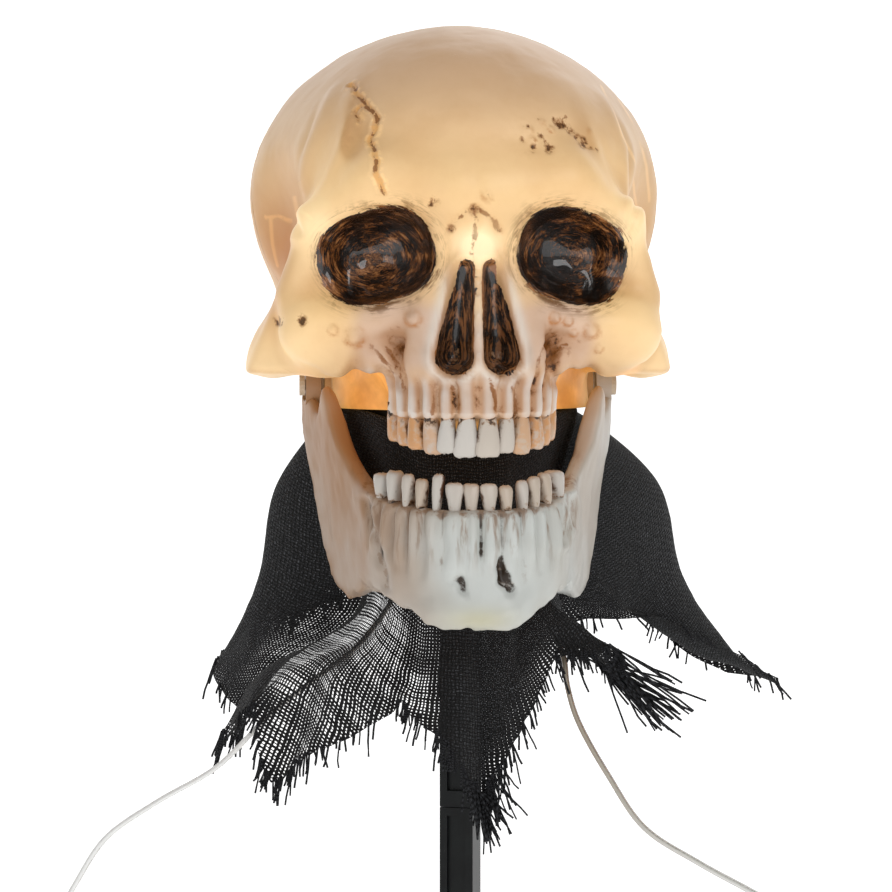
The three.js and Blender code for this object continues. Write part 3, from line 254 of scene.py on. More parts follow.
def skin(rings, caps=True):
    """Quads over rings (count, size, 3); the ends are closed by a fan to a middle point."""
    count, size = rings.shape[:2]
    i, j = np.meshgrid(np.arange(count - 1), np.arange(size), indexing="ij")
    k = (j + 1) % size
    quads = np.stack([i * size + j, i * size + k, (i + 1) * size + k, (i + 1) * size + j],
                     -1).reshape(-1, 4)
    points = rings.reshape(-1, 3)
    if not caps:
        return points, quads
    points = np.vstack([points, rings[0].mean(0), rings[-1].mean(0)])
    first, last = count * size, count * size + 1
    faces = [list(map(int, q)) for q in quads]
    for a in range(size):
        b = (a + 1) % size
        faces.append([first, b, a])
        faces.append([last, (count - 1) * size + a, (count - 1) * size + b])
    return points, faces


# Smooth random values on a lattice, picked from a table by a hash of the lattice point.
TABLE = np.random.default_rng(3).random(65536).astype(np.float32)
HASH = (73856093, 19349663, 83492791, 7919)


def noise(p, scale, seed=0):
    """Values from -1 to 1 at points (3, n)."""
    q = np.asarray(p, np.float32) / np.float32(scale) + 100.0
    low = np.floor(q).astype(np.int64)
    f = q - low
    f = f * f * (3 - 2 * f)
    total = 0
    for corner in np.ndindex(2, 2, 2):
        key = seed * HASH[3]
        weight = 1
        for k in range(3):
            key = key ^ (low[k] + corner[k]) * HASH[k]
            weight = weight * (f[k] if corner[k] else 1 - f[k])
        total = total + weight * TABLE[key & (len(TABLE) - 1)]
    return 2 * total - 1


def step(low, high, value):
    """0 at low to 1 at high, softly."""
    t = np.clip((value - low) / (high - low), 0, 1)
    return t * t * (3 - 2 * t)


def bell(value, width):
    return np.exp(-((value / width) ** 2))


def to_line(x, z, line):
    """Distance in a plane from points to a line of points."""
    best = np.full(np.shape(x), 1e9)
    for (ax, az), (bx, bz) in zip(line[:-1], line[1:]):
        dx, dz = bx - ax, bz - az
        t = np.clip(((x - ax) * dx + (z - az) * dz) / (dx * dx + dz * dz), 0, 1)
        best = np.minimum(best, np.hypot(x - ax - t * dx, z - az - t * dz))
    return best


# Soft distance fields, in millimetres from the skull's own datum; points are (3, n).
def blob(p, at, radii):
    x, y, z = ((p[k] - at[k]) / radii[k] for k in range(3))
    reach = np.sqrt(x * x + y * y + z * z)
    slope = np.sqrt((x / radii[0]) ** 2 + (y / radii[1]) ** 2 + (z / radii[2]) ** 2) + 1e-6
    return reach * (reach - 1) / slope


def bone(p, start, end, start_radius, end_radius):
    along = np.subtract(end, start)
    off = [p[k] - start[k] for k in range(3)]
    t = np.clip((off[0] * along[0] + off[1] * along[1] + off[2] * along[2]) / (along @ along), 0, 1)
    gap = np.sqrt(sum((off[k] - t * along[k]) ** 2 for k in range(3)))
    return gap - start_radius - t * (end_radius - start_radius)


def blend(a, b, soft):
    overlap = np.maximum(soft - np.abs(a - b), 0) / soft
    return np.minimum(a, b) - overlap * overlap * soft / 4


def carved(a, b, soft):
    return -blend(-a, b, soft)


# Middle of an eye socket: x, y and z; m is a point mirrored to the positive side.
SOCKET = (34.5, -71, 65.3)
SOCKET_RADII = (19.3, 26, 15.4)
SOCKET_ROLL = math.radians(16)
SOCKET_POWER = 2.5


def socket_field(m):
    x, z = m[0] - SOCKET[0], m[2] - SOCKET[2]
    rolled = [
        (x * math.cos(SOCKET_ROLL) - z * math.sin(SOCKET_ROLL)) / SOCKET_RADII[0],
        (m[1] - SOCKET[1]) / SOCKET_RADII[1],
        (x * math.sin(SOCKET_ROLL) + z * math.cos(SOCKET_ROLL)) / SOCKET_RADII[2],
    ]
    flat = np.abs(rolled[0]) ** SOCKET_POWER + np.abs(rolled[2]) ** SOCKET_POWER
    flat = flat ** (1 / SOCKET_POWER)
    reach = np.sqrt(flat * flat + rolled[1] ** 2)
    return (reach - 1) * 17.5


def nose_field(m):
    pulled = [m[0], (m[1] + 84) * 0.42, m[2]]
    return bone(pulled, (4.3, 0, 61), (8.3, 0, 31), 2.5, 6.0)


def well_field(m):
    """The round recess for the jaw's lug."""
    return np.maximum(np.hypot(m[1] - 12, m[2] - 18) - 11.5, 48 - m[0])


def mass_field(p):
    """The braincase and the base under it."""
    m = [np.abs(p[0]), p[1], p[2]]
    d = blob(p, (0, 33, 88), (77, 80, 64))
    d = blend(d, blob(p, (0, -14, 88), (61, 56, 59)), 18)
    d = blend(d, blob(p, (0, 52, 48), (60, 52, 42)), 20)
    plan = (np.hypot(p[0] / 50, (p[1] - 12) / 44) - 1) * 44
    d = blend(d, carved(plan, 24 - np.abs(p[2] - 30), 6), 10)
    d = carved(d, blob(m, (86, -20, 74), (28, 40, 36)), 10)
    return blend(d, blob(p, (0, -35, 48), (44, 38, 38)), 12)


def cheek_field(m, cheek):
    """The wedge of the cheekbone; cheek is its reach to the side."""
    outer = 0.926 * (m[0] - cheek + 9) + 0.38 * (m[2] - 52.5)
    front = 0.6 * (m[0] - cheek + 22) - 0.8 * (m[1] + 52)
    d = 23.5 - m[2]
    for side in (outer, front, m[1] + 8, 46 - m[0]):
        d = carved(d, -side, 3.5)
    return d


def skull_field(p):
    m = [np.abs(p[0]), p[1], p[2]]
    cheek = np.where(p[0] < 0, 77.0, 72.0)
    d = mass_field(p)
    arch = (np.hypot(p[0] / 29, (p[1] + 48) / 36) - 1) * 29 + 3.5 * step(11, 8, p[2])
    gum = carved(arch, 14 - np.abs(p[2] - 14), 4)
    gum = carved(gum, -29 - p[1], 4)
    d = blend(d, gum, 6)
    d = blend(d, bone(m, (0, -66, 80), (0, -80, 63), 8, 6), 6)
    d = blend(d, bone(m, (11, -70, 73), (17, -74, 31), 6.5, 8), 6)
    d = blend(d, bone(m, (0, -76, 60), (0, -78, 30), 6, 9), 5)
    d = blend(d, bone(m, (16, -70, 49), (46, -58, 41), 7, 8), 6)
    d = blend(d, bone(m, (46, -53, 36), (31, -61, 31), 8.5, 6), 6)
    d = blend(d, blob(p, (0, -68, 88), (16, 9, 10)), 8)
    d = blend(d, blob(p, (0, -22, 100), (58, 50, 36)), 8)
    d = blend(d, bone(m, (8, -66.5, 87), (32, -64, 90), 7.5, 7.5), 16)
    d = blend(d, bone(m, (32, -64, 90), (53.5, -52, 76), 7.5, 7), 12)
    d = blend(d, bone(m, (53.5, -52, 76), (61, -46, 52), 7, 7), 6)
    d = blend(d, blob(m, (52, -38, 65), (9, 13, 18)), 6)
    d = blend(d, blob(m, (54, -51, 39), (14, 13, 13)), 8)
    d = blend(d, cheek_field(m, cheek), 6)
    slid = [m[0] - (cheek - 74) * step(54, 66, m[0]), m[1], m[2]]
    d = blend(d, bone(slid, (66, -22, 31), (59, 21, 36), 7, 8), 9)
    d = blend(d, bone(m, (52, -14, 36), (54, 12, 36), 8, 8), 8)
    d = carved(d, socket_field(m), 5)
    d = carved(d, nose_field(m), 3)
    d = carved(d, blob(m, (29, -84, 30), (9, 9, 10)), 6)
    return carved(d, well_field(m), 3)


# Thickness of the shells' walls.
WALL = 3


def hollow_field(p):
    """The space inside the shells."""
    m = [np.abs(p[0]), p[1], p[2]]
    d = mass_field(p) + WALL
    for opening in (socket_field, nose_field, well_field):
        d = carved(d, opening(m) - WALL, 3)
    return d


def slope(field, p, reach=0.4):
    """The way in which a field grows."""
    parts = []
    for k in range(3):
        off = np.zeros((3, 1), np.float32)
        off[k] = reach
        parts.append((field(p + off) - field(p - off)) / (2 * reach))
    return np.array(parts)


def surface(field, low, high, cell, block_size=6):
    """Points (n, 3) and quads where the field is zero: one point for each crossed cell of a grid."""
    low = np.array(low, float)
    size = block_size * cell
    blocks = np.ceil((np.array(high) - low) / size).astype(int)
    middles = low[:, None] + (np.indices(blocks).reshape(3, -1) + 0.5) * size
    rough = field(middles)
    near = (np.abs(rough) < 1.4 * size + 3).reshape(blocks)
    sign = np.where(rough < 0, -1.0, 1.0).astype(np.float32).reshape(blocks)

    def spread(values):
        for axis in range(3):
            values = np.repeat(values, block_size, axis)
        return values

    values, mask = spread(sign), spread(near)
    places = np.argwhere(mask).T
    values[mask] = field((low[:, None] + places * cell).astype(np.float32))
    inside = values < 0
    strides = np.array([values.shape[1] * values.shape[2], values.shape[2], 1])
    cells, spots, quads = [], [], []
    for axis in range(3):
        b, c = (axis + 1) % 3, (axis + 2) % 3
        first = [slice(None)] * 3
        second = [slice(None)] * 3
        first[axis], second[axis] = slice(None, -1), slice(1, None)
        at = np.argwhere(inside[tuple(first)] != inside[tuple(second)])
        index = at @ strides
        v0 = values.ravel()[index]
        v1 = values.ravel()[index + strides[axis]]
        spot = at.astype(float)
        spot[:, axis] += v0 / (v0 - v1)
        ring = np.stack([index - strides[b] - strides[c], index - strides[c], index, index - strides[b]], 1)
        ring[v0 > 0] = ring[v0 > 0][:, ::-1]
        quads.append(ring)
        cells.append(ring.ravel())
        spots.append(np.repeat(spot, 4, 0))
    names, which = np.unique(np.concatenate(cells), return_inverse=True)
    spots = np.concatenate(spots)
    count = np.bincount(which)
    points = np.stack([np.bincount(which, spots[:, k]) / count for k in range(3)], 1)
    faces = np.searchsorted(names, np.concatenate(quads))
    points = low + points * cell
    for _ in range(2):
        p = points.T.astype(np.float32)
        way = slope(field, p)
        move = field(p) / np.maximum((way**2).sum(0), 0.2)
        points = points - (np.clip(move, -0.6 * cell, 0.6 * cell) * way).T
    return points, faces


def closed_surface(field, low, high, cell):
    """The surface on the first of several slightly moved grids that gives every edge exactly two faces."""
    for shift in range(8):
        points, faces = surface(field, np.array(low) - 0.137 * shift * cell, high, cell)
        sides = np.concatenate([np.sort(faces[:, [k, (k + 1) % 4]], 1) for k in range(4)])
        _, count = np.unique(sides[:, 0] * len(points) + sides[:, 1], return_counts=True)
        if np.all(count == 2):
            break
    return points, faces


def to_world(points):
    """Metres of the frame from the skull's millimetres."""
    return np.asarray(points) * 0.001 + np.array([0, 0, DATUM])


def to_local(points):
    """The skull's millimetres (3, n) from metres of the frame."""
    return ((np.asarray(points) - np.array([0, 0, DATUM])) * 1000).T.astype(np.float32)


def curve_at(a, b, c, d, t):
    """The Catmull-Rom curve from b to c, at t from 0 to 1."""
    return b + 0.5 * t * (c - a + t * (2 * a - 5 * b + 4 * c - d + t * (3 * (b - c) + d - a)))


def catmull(points, count):
    """Evenly spaced points on a uniform Catmull-Rom curve."""
    p = np.asarray(points, float)
    p = np.vstack([2 * p[0] - p[1], p, 2 * p[-1] - p[-2]])
    t = np.linspace(0, 1, 40, endpoint=False)[:, None]
    parts = []
    for a, b, c, d in zip(p[:-3], p[1:-2], p[2:-1], p[3:]):
        parts.append(curve_at(a, b, c, d, t))
    fine = np.vstack(parts + [p[-2:-1]])
    run = np.concatenate([[0], np.cumsum(np.linalg.norm(np.diff(fine, axis=0), axis=1))])
    at = np.linspace(0, run[-1], count)
    return np.stack([np.interp(at, run, fine[:, k]) for k in range(3)], 1)


# Cords: flat twin leads on the routes of their solids, each ending in its coil. All in metres.
CORD_EXIT = (0.0165, 0.012, 0.1927)
CORD_HALF_WIDTH = 0.0022
CORD_HALF_DEPTH = 0.0011
CORD_GROOVE = 0.0006
CORD_SIDES = 20
CORD_LEAD_IN = 0.0044
COIL_MIDDLE = (0.118, 0.062)
COIL_PITCH = 0.0032
COIL_LAYER = 0.0052
COIL_LOW = 0.0031
LEAD_ROUTE = [
    (-0.018, 0.011, 0.168), (-0.025, 0.006, 0.148), (-0.039, -0.002, 0.131), (-0.055, -0.009, 0.120),
    (-0.071, -0.014, 0.108), (-0.090, -0.019, 0.090), (-0.112, -0.024, 0.078), (-0.130, -0.027, 0.066),
    (-0.141, -0.028, 0.050), (-0.151, -0.027, 0.031), (-0.158, -0.022, 0.014), (-0.161, -0.011, 0.005),
    (-0.160, 0.006, 0.0031), (-0.156, 0.025, 0.0031),
]
LINK_ROUTE = [
    (0.017, 0.009, 0.170), (0.022, 0.000, 0.155), (0.030, -0.015, 0.143), (0.0355, -0.026, 0.131),
    (0.037, -0.030, 0.119), (0.041, -0.033, 0.106), (0.051, -0.036, 0.088), (0.064, -0.039, 0.069),
    (0.084, -0.041, 0.056), (0.110, -0.038, 0.041), (0.134, -0.030, 0.023), (0.150, -0.018, 0.009),
    (0.157, -0.002, 0.0038), (0.157, 0.020, 0.0031),
]


def coil_points(side, inner, turns):
    """A flat spiral in to the middle, up one layer and out again."""
    outer = inner + turns * COIL_PITCH
    run = np.linspace(-turns, turns, int(2 * turns * 40) + 1)
    angle = 2 * np.pi * (run + turns)
    radius = inner + COIL_PITCH * np.abs(run)
    x = side * (COIL_MIDDLE[0] + radius * np.cos(angle))
    y = COIL_MIDDLE[1] + radius * np.sin(angle)
    z = COIL_LOW + COIL_LAYER * step(-0.25, 0.25, run)
    spiral = np.stack([x, y, z], 1)
    start_x = side * (COIL_MIDDLE[0] + outer)
    start = [(start_x, COIL_MIDDLE[1] - d, COIL_LOW) for d in (2 * CORD_LEAD_IN, CORD_LEAD_IN)]
    tail = spiral[-1] - np.outer(np.linspace(0.003, 0.027, 9), (0, 1, 0))
    return np.vstack([start, spiral, tail])


def cord_look(name, near, far):
    """near and far hold the strand's dark and pale tone and the clear jacket's."""
    look = Look(name, Roughness=0.22, Coat_Weight=0.6, Coat_Roughness=0.08, IOR=1.46)
    across = look.math("ABSOLUTE", look.mask("across"))
    wire = look.span(look.math("ABSOLUTE", look.math("SUBTRACT", across, 0.5)), 0.34, 0.14)
    strand = look.noise(1, 2, vector=look.vector("lay"))
    copper = look.mix(look.span(strand, 0.4, 0.62), near[0], near[1])
    silver = look.mix(look.span(strand, 0.4, 0.62), far[0], far[1])
    metal = look.mix(look.mask("reach"), copper, silver)
    clear = look.mix(look.mask("reach"), near[2], far[2])
    look.set("Base Color", look.mix(wire, clear, metal))
    look.bump(look.plus(look.times(wire, 0.3), strand), 0.25, 0.0002)
    return look


def make_cord(name, side, route, inner, turns, look, turning):
    """One lead; side is -1 or 1, and turning is where its metal goes from copper to silver."""
    coil = coil_points(side, inner, turns)
    leave = np.array([side * CORD_EXIT[0], CORD_EXIT[1], CORD_EXIT[2]])
    end = coil[0]
    free = [leave, leave - (0, 0, CORD_LEAD_IN), *map(np.array, route), end - (0, CORD_LEAD_IN, 0), end]
    free = catmull(free, 220)
    points = np.vstack([free[:-1], coil])
    turning_up = step(0.55, 0.85, np.linspace(0, 1, len(free) - 1))
    upright = np.concatenate([turning_up, np.ones(len(coil))])
    wide = np.stack([0.2 * (1 - upright), 1 - upright, upright], 1)
    turn = np.linspace(0, 2 * np.pi, CORD_SIDES, endpoint=False)
    across = CORD_HALF_WIDTH * np.cos(turn)
    through = CORD_HALF_DEPTH * np.sin(turn) * (1 - 0.34 * bell(across, CORD_GROOVE))
    rings = tube(points, wide, np.stack([across, through], 1))
    obj = mesh_object(name, *skin(rings))
    count = len(points)
    run = np.concatenate([[0], np.cumsum(np.linalg.norm(np.diff(points, axis=0), axis=1))])
    paint(obj, "across", np.concatenate([np.tile(across / CORD_HALF_WIDTH, count), [0, 0]]))
    reach = step(turning, turning + 0.1, run)
    paint(obj, "reach", np.concatenate([np.repeat(reach, CORD_SIDES), [0, 1]]))
    along = np.repeat(run, CORD_SIDES) * 900
    lay = np.stack([along, np.tile(turn, count) * 2.2 + along, np.zeros(len(along))], 1)
    paint(obj, "lay", np.vstack([lay, lay[:1], lay[-1:]]))
    dress(obj, look)
    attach(obj, "skull")
    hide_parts(f"{name}_cord", f"{name}_coil")
    return obj


lead_look = cord_look(
    "clear_cord_lead",
    (shade(150, 120, 95), shade(222, 205, 184), shade(206, 198, 188)),
    (shade(168, 166, 160), shade(246, 246, 242), shade(226, 226, 224)),
)
link_look = cord_look(
    "clear_cord_link",
    (shade(92, 62, 42), shade(172, 132, 98), shade(150, 138, 122)),
    (shade(120, 112, 100), shade(205, 200, 192), shade(205, 205, 200)),
)
make_cord("lead", -1, LEAD_ROUTE, inner=0.019, turns=4.25, look=lead_look,
          turning=0.05)
make_cord("link", 1, LINK_ROUTE, inner=0.023, turns=1.25, look=link_look,
          turning=0.1)

# Skull shells: the cell of their grid and the space that it fills, in millimetres.
FINE = 1.15
HOLLOW_CELL = 5.0
SPACE = ((-92, -98, -20), (92, 126, 166))
# The picture's middle pixel, its millimetres a pixel, and the shift of places with their depth.
MIDDLE_PIXEL = 446
PIXEL = 0.3704
TURN_SHIFT = 0.0698
TILT_SHIFT = 0.0523


def seen(px, py, y):
    """Skull x and z, in millimetres, of a place seen in the picture, at a given depth."""
    s = PIXEL * (VIEW_DISTANCE + y) / VIEW_DISTANCE
    x = VIEW_MIDDLE[0] + (px - MIDDLE_PIXEL) * s + TURN_SHIFT * y
    z = VIEW_MIDDLE[2] + (MIDDLE_PIXEL - py) * s - TILT_SHIFT * y
    return (x, z - 1000 * DATUM)


# Marks as seen in the picture: column, row and depth; pits also have a radius and a height.
CRACK = [seen(*q) for q in (
    (345, 82, -54), (356, 85, -56), (365, 103, -61), (379, 119, -65), (371, 140, -67), (378, 161, -71),
    (375, 175, -73), (385, 194, -74),
)]
CRACK_SPUR = [seen(365, 103, -61), seen(358, 112, -62), seen(360, 121, -64)]
GROOVES = [
    [seen(300, 233, -40), seen(291, 215, -30), seen(299, 160, -15), seen(330, 75, -5)],
    [seen(620, 232, -40), seen(628, 205, -30), seen(622, 150, -15), seen(600, 90, -10)],
]
SEAMS = [[seen(*q) for q in line] for line in (
    ((449, 231, -72), (455, 221, -74), (465, 213, -76), (474, 208, -77), (484, 213, -76),
     (493, 222, -74), (499, 231, -72)),
    ((474, 209, -77), (475, 225, -78), (473, 240, -80), (472, 258, -82)),
    ((386, 346, -66), (394, 356, -66), (400, 370, -66), (404, 388, -66)),
    ((372, 346, -64), (384, 361, -64), (392, 372, -65)),
    ((545, 343, -66), (538, 356, -66), (534, 370, -66), (530, 388, -66)),
    ((566, 345, -64), (552, 350, -64), (546, 362, -65)),
    ((450, 383, -82), (456, 396, -82), (457, 408, -82)),
    ((489, 380, -82), (494, 392, -82), (496, 410, -82)),
    ((432, 385, -80), (434, 400, -80), (432, 414, -79)),
    ((512, 388, -80), (515, 402, -80), (514, 416, -79)),
)]
VEINS = [[seen(*q) for q in line] for line in (
    ((256, 212, 20), (268, 219, 0), (280, 217, -10), (293, 221, -20)),
    ((272, 219, 0), (274, 245, -4), (279, 266, -8)),
    ((296, 198, -22), (300, 214, -30), (310, 220, -40)),
    ((598, 90, 0), (612, 138, -10), (630, 166, -8), (641, 208, -4)),
    ((618, 100, 10), (634, 140, 10), (645, 165, 10), (652, 200, 10)),
)]
PITS = [(*seen(*q[:3]), q[3], q[4]) for q in (
    (534, 149, -70, 1.3, -0.8), (549, 149, -69, 1.6, -0.9), (561, 125, -67, 1.8, -1.0),
    (584, 143, -63, 1.9, -0.9), (523, 140, -70, 0.9, -0.6), (541, 136, -69, 0.9, -0.5),
    (572, 131, -66, 1.2, -0.7), (597, 150, -60, 0.8, -0.5), (565, 118, -66, 1.1, -0.5),
    (578, 138, -64, 1.2, -0.6), (530, 130, -70, 1.0, 0.8), (543, 122, -69, 0.9, 0.7),
    (552, 130, -68, 0.9, 0.7), (528, 127, -70, 0.7, -0.5), (541, 119, -69, 0.7, -0.4),
    (568, 124, -66, 1.3, -0.7), (590, 147, -60, 1.2, -0.7), (556, 120, -68, 0.8, -0.5),
    (533, 140, -70, 0.8, 0.6), (545, 142, -69, 0.7, -0.5), (592, 131, -62, 0.8, 0.7),
    (523, 126, -70, 0.6, -0.4), (434, 202, -74, 1.5, -0.8), (431, 205, -74, 1.0, -0.6),
    (474, 210, -78, 1.6, -1.1), (489, 195, -78, 0.8, -0.5), (450, 229, -74, 1.2, -0.9),
    (497, 230, -74, 1.1, -0.8), (355, 337, -62, 2.8, 1.7), (412, 318, -70, 2.3, 1.4),
    (333, 330, -58, 1.5, 0.9), (300, 320, -52, 1.8, -0.5), (279, 321, -44, 1.5, -0.5),
    (554, 318, -68, 1.7, 1.4), (567, 321, -66, 1.5, 1.3), (590, 331, -62, 2.3, 1.6),
    (573, 333, -64, 1.2, 0.9), (597, 349, -60, 1.2, 0.9), (525, 287, -72, 0.8, -0.4),
    (486, 196, -78, 1.6, 0.5),
)]
# Upper teeth from the middle to the side: width, depth and height.
UPPER = [
    (8.4, 6, 13.6), (6.6, 5.6, 12.4), (7.0, 6.4, 13.2), (6.6, 6.8, 12), (6.6, 7.2, 11.4),
    (8.6, 8, 10.8),
]


# The arch of the upper teeth: its half width, depth, middle and mean radius.
ARCH_HALF_WIDTH = 26.6
ARCH_DEPTH = 34
ARCH_MIDDLE = -47
ARCH_RADIUS = 31


def upper_places():
    """Place, turn, width, depth and height of each upper tooth."""
    for side in (-1, 1):
        run = 0
        for width, depth, height in UPPER:
            turn = (run + width / 2) / ARCH_RADIUS
            run += width + 0.25
            x = side * ARCH_HALF_WIDTH * math.sin(turn)
            y = ARCH_MIDDLE - ARCH_DEPTH * math.cos(turn)
            spot = (x, y, 9.5 + 2 * (1 - math.cos(turn)))
            yield spot, side * turn, width, depth, height


def mark_of(p):
    """Distance to the crack and to the nearest painted seam, in millimetres."""
    x, y, z = p
    warp = 0.8 * noise(p, 4, 5)
    gap = np.minimum(to_line(x + warp, z, CRACK), to_line(x + warp, z, CRACK_SPUR) + 0.4)
    crack = gap + 40 * step(80, 60, z) + 40 * step(-36, -20, y)
    seam = np.full(np.shape(x), 99.0)
    for line in SEAMS:
        seam = np.minimum(seam, to_line(x + 0.6 * noise(p, 3, 7), z, line))
    return crack, seam


def relief_of(p):
    """How far each point of the skull stands out from its soft shape, in millimetres."""
    x, y, z = p
    front = step(-20, -36, y)
    m = [np.abs(x), y, z]
    out = 0.45 * noise(p, 17, 1) + 0.2 * noise(p, 7, 2) + 0.06 * noise(p, 2.6, 3)
    for line in GROOVES:
        gap = to_line(x, z, line)
        out += front * (1.3 * bell(gap - 2.5, 2.4) - 0.9 * bell(gap + 0.5, 2.2))
    crack, seam = mark_of(p)
    out += front * (0.4 * bell(crack - 1.6, 0.9) - 1.0 * bell(crack, 0.8) - 0.7 * bell(seam, 0.9))
    for px, pz, radius, height in PITS:
        gap = np.hypot(x - px + 0.5 * noise(p, 2.2, 6), z - pz)
        out += front * height * bell(gap, radius)
    # The rim of the nose, roots over the teeth and folds of the cheek.
    out += front * 1.1 * bell(nose_field(m) - 2.4, 1.6) * step(70, 60, z)
    rim = socket_field(m)
    out += front * bell(rim - 1.8, 2.2) * (0.4 + 0.6 * noise(p, 5, 8))
    around = np.arctan2(x / ARCH_HALF_WIDTH, (ARCH_MIDDLE - y) / ARCH_DEPTH)
    for spot, turn, width, _, _ in upper_places():
        tall = 19 + 6 * math.sin(7 * spot[0])
        gap = ARCH_RADIUS * (around - turn) + 0.6 * noise(p, 8, 10)
        rise = step(7, 11, z) * step(10 + tall, 12 + 0.4 * tall, z) * step(-40, -52, y)
        out += (1.7 * bell(gap, 0.36 * width) - 0.8 * bell(np.abs(gap) - 0.54 * width, 0.9)) * rise
    fold = np.sin(0.75 * (m[0] - 0.4 * z) + 1.5 * noise(p, 11, 4))
    out += 0.7 * fold * bell(m[0] - 32, 8) * bell(z - 23, 10) * front
    return out


# The jaw's hinge: its axis in y and z, and radii and places along it, in metres.
HINGE = (0.012, DATUM + 0.018)
BOSS_RADIUS = 0.0075
WELL_RADIUS = 0.0095
BORE_RADIUS = 0.0023
BORE_SIDES = 24
LUG_RADIUS = 0.008
LUG_INNER = 0.0513
LUG_OUTER = 0.0569
# The shells' floor, the hollow's floor over it, and the opening that the base plate covers.
FLOOR = DATUM + 0.010
HOLLOW_FLOOR = DATUM + 0.013
OPENING_RADII = (0.029, 0.028)
OPENING_MIDDLE = (0, 0.012)
# The parting of the two shells in y, with a gap between them.
SEAM = 0.024
SEAM_GAP = 0.0003


def hinge_bar(radius, side, near, far, sides=48):
    """A cutter on the hinge's axis, between two distances from the middle."""
    low, high = sorted((side * near, side * far))
    return rod(radius, low, high, 0, HINGE, sides)


def shells():
    """The two shells, cut from one relief, with the hollow, the floor, the bosses and the bores."""
    points, faces = closed_surface(skull_field, *SPACE, FINE)
    p = points.T.astype(np.float32)
    way = slope(skull_field, p)
    way /= np.linalg.norm(way, axis=0) + 1e-9
    points = points + (relief_of(p) * way).T
    whole = mesh_object("face_shell_look", to_world(points), faces)
    inner_points, inner_faces = closed_surface(hollow_field, *SPACE, HOLLOW_CELL)
    hollow = mesh_object("hollow", to_world(inner_points), inner_faces)
    cut(hollow, ("INTERSECT", block((-0.2, -0.2, HOLLOW_FLOOR), (0.2, 0.2, DATUM + 0.3))))
    steps = [
        ("DIFFERENCE", block((-0.3, -0.027, DATUM - 0.2), (0.3, 0.3, FLOOR))),
        ("DIFFERENCE", hollow),
        ("DIFFERENCE", rod(OPENING_RADII, FLOOR - 0.005, HOLLOW_FLOOR + 0.003, 2, OPENING_MIDDLE)),
    ]
    for side in (-1, 1):
        steps.append(("UNION", hinge_bar(BOSS_RADIUS, side, 0.040, 0.050)))
        steps.append(("DIFFERENCE", hinge_bar(WELL_RADIUS, side, 0.050, 0.064)))
        steps.append(("DIFFERENCE", hinge_bar(BORE_RADIUS, side, 0.0415, 0.051, BORE_SIDES)))
    cut(whole, *steps)
    rear = link(bpy.data.objects.new("cranium_shell_look", whole.data.copy()))
    cut(whole, ("INTERSECT", block((-0.3, -0.3, 0), (0.3, SEAM - SEAM_GAP / 2, 0.6))))
    cut(rear, ("INTERSECT", block((-0.3, SEAM + SEAM_GAP / 2, 0), (0.3, 0.3, 0.6))))
    return whole, rear


face, cranium = shells()


# Sides of a tooth, and how square its section is.
TOOTH_SIDES = 20
TOOTH_POWER = 2.7


def tooth_mesh(width, depth, height, seed, molar, peg):
    """A crown with its neck at z = 0 and its biting edge at z = height, with a stub of root below."""
    pick = np.random.default_rng(seed)
    levels = np.array([-0.3, -0.1, 0.05, 0.2, 0.4, 0.6, 0.78, 0.9, 0.97, 1.0])
    widths = np.array([0.62, 0.64, 0.68, 0.77, 0.9, 1.01, 1.06, 1.02, 0.86, 0.5])
    deep = np.array([1, 1, 1.02, 1.05, 1, 0.9, 0.76, 0.62, 0.48, 0.28])
    if peg:
        widths = np.array([0.56, 0.6, 0.64, 0.72, 0.86, 1.0, 1.08, 1.04, 0.84, 0.45])
    if molar:
        deep = np.array([1, 1, 1.03, 1.06, 1.06, 1.05, 1.02, 0.97, 0.86, 0.62])
    turn = np.linspace(0, 2 * np.pi, TOOTH_SIDES, endpoint=False)
    c, s = np.cos(turn), np.sin(turn)
    bulge = (np.abs(c) ** TOOTH_POWER + np.abs(s) ** TOOTH_POWER) ** (-1 / TOOTH_POWER)
    rings = []
    lean = pick.normal(0, 0.045, 2)
    for level, w, d in zip(levels, widths, deep):
        x = 0.5 * width * w * c * bulge
        y = 0.5 * depth * d * s * bulge
        z = np.full(TOOTH_SIDES, level * height)
        z += level**4 * pick.normal(0, 0.012, TOOTH_SIDES) * height
        rings.append(np.stack([x + lean[0] * z, y + lean[1] * z, z], 1))
    rings = np.array(rings) + pick.normal(0, 0.05, (len(levels), TOOTH_SIDES, 3))
    return skin(rings)


def teeth(name, places, down):
    """One piece of all teeth of a row, pointing down or up."""
    parts = []
    for index, (spot, turn, width, depth, height) in enumerate(places):
        points, faces = tooth_mesh(width, depth, height, 40 + index, abs(turn) > 0.75, not down)
        crown = (points[:, 2] / height).copy()
        beside = np.abs(points[:, 0]) / (0.5 * width)
        if down:
            points = points * (1, -1, -1)
        c, s = math.cos(turn), math.sin(turn)
        x, y, z = points.T
        points = np.stack([x * c - y * s, x * s + y * c, z], 1)
        obj = mesh_object(name, to_world(points + spot), faces)
        paint(obj, "crown", crown)
        paint(obj, "beside", beside)
        paint(obj, "outer", np.full(len(points), float(step(0.4, 0.75, abs(turn))) if down else 0.0))
        paint(obj, "stain", np.full(len(points), np.random.default_rng(90 + index).random()))
        parts.append(obj)
    return join(parts[0], *parts[1:])


upper_teeth = teeth("upper_teeth", list(upper_places()), True)

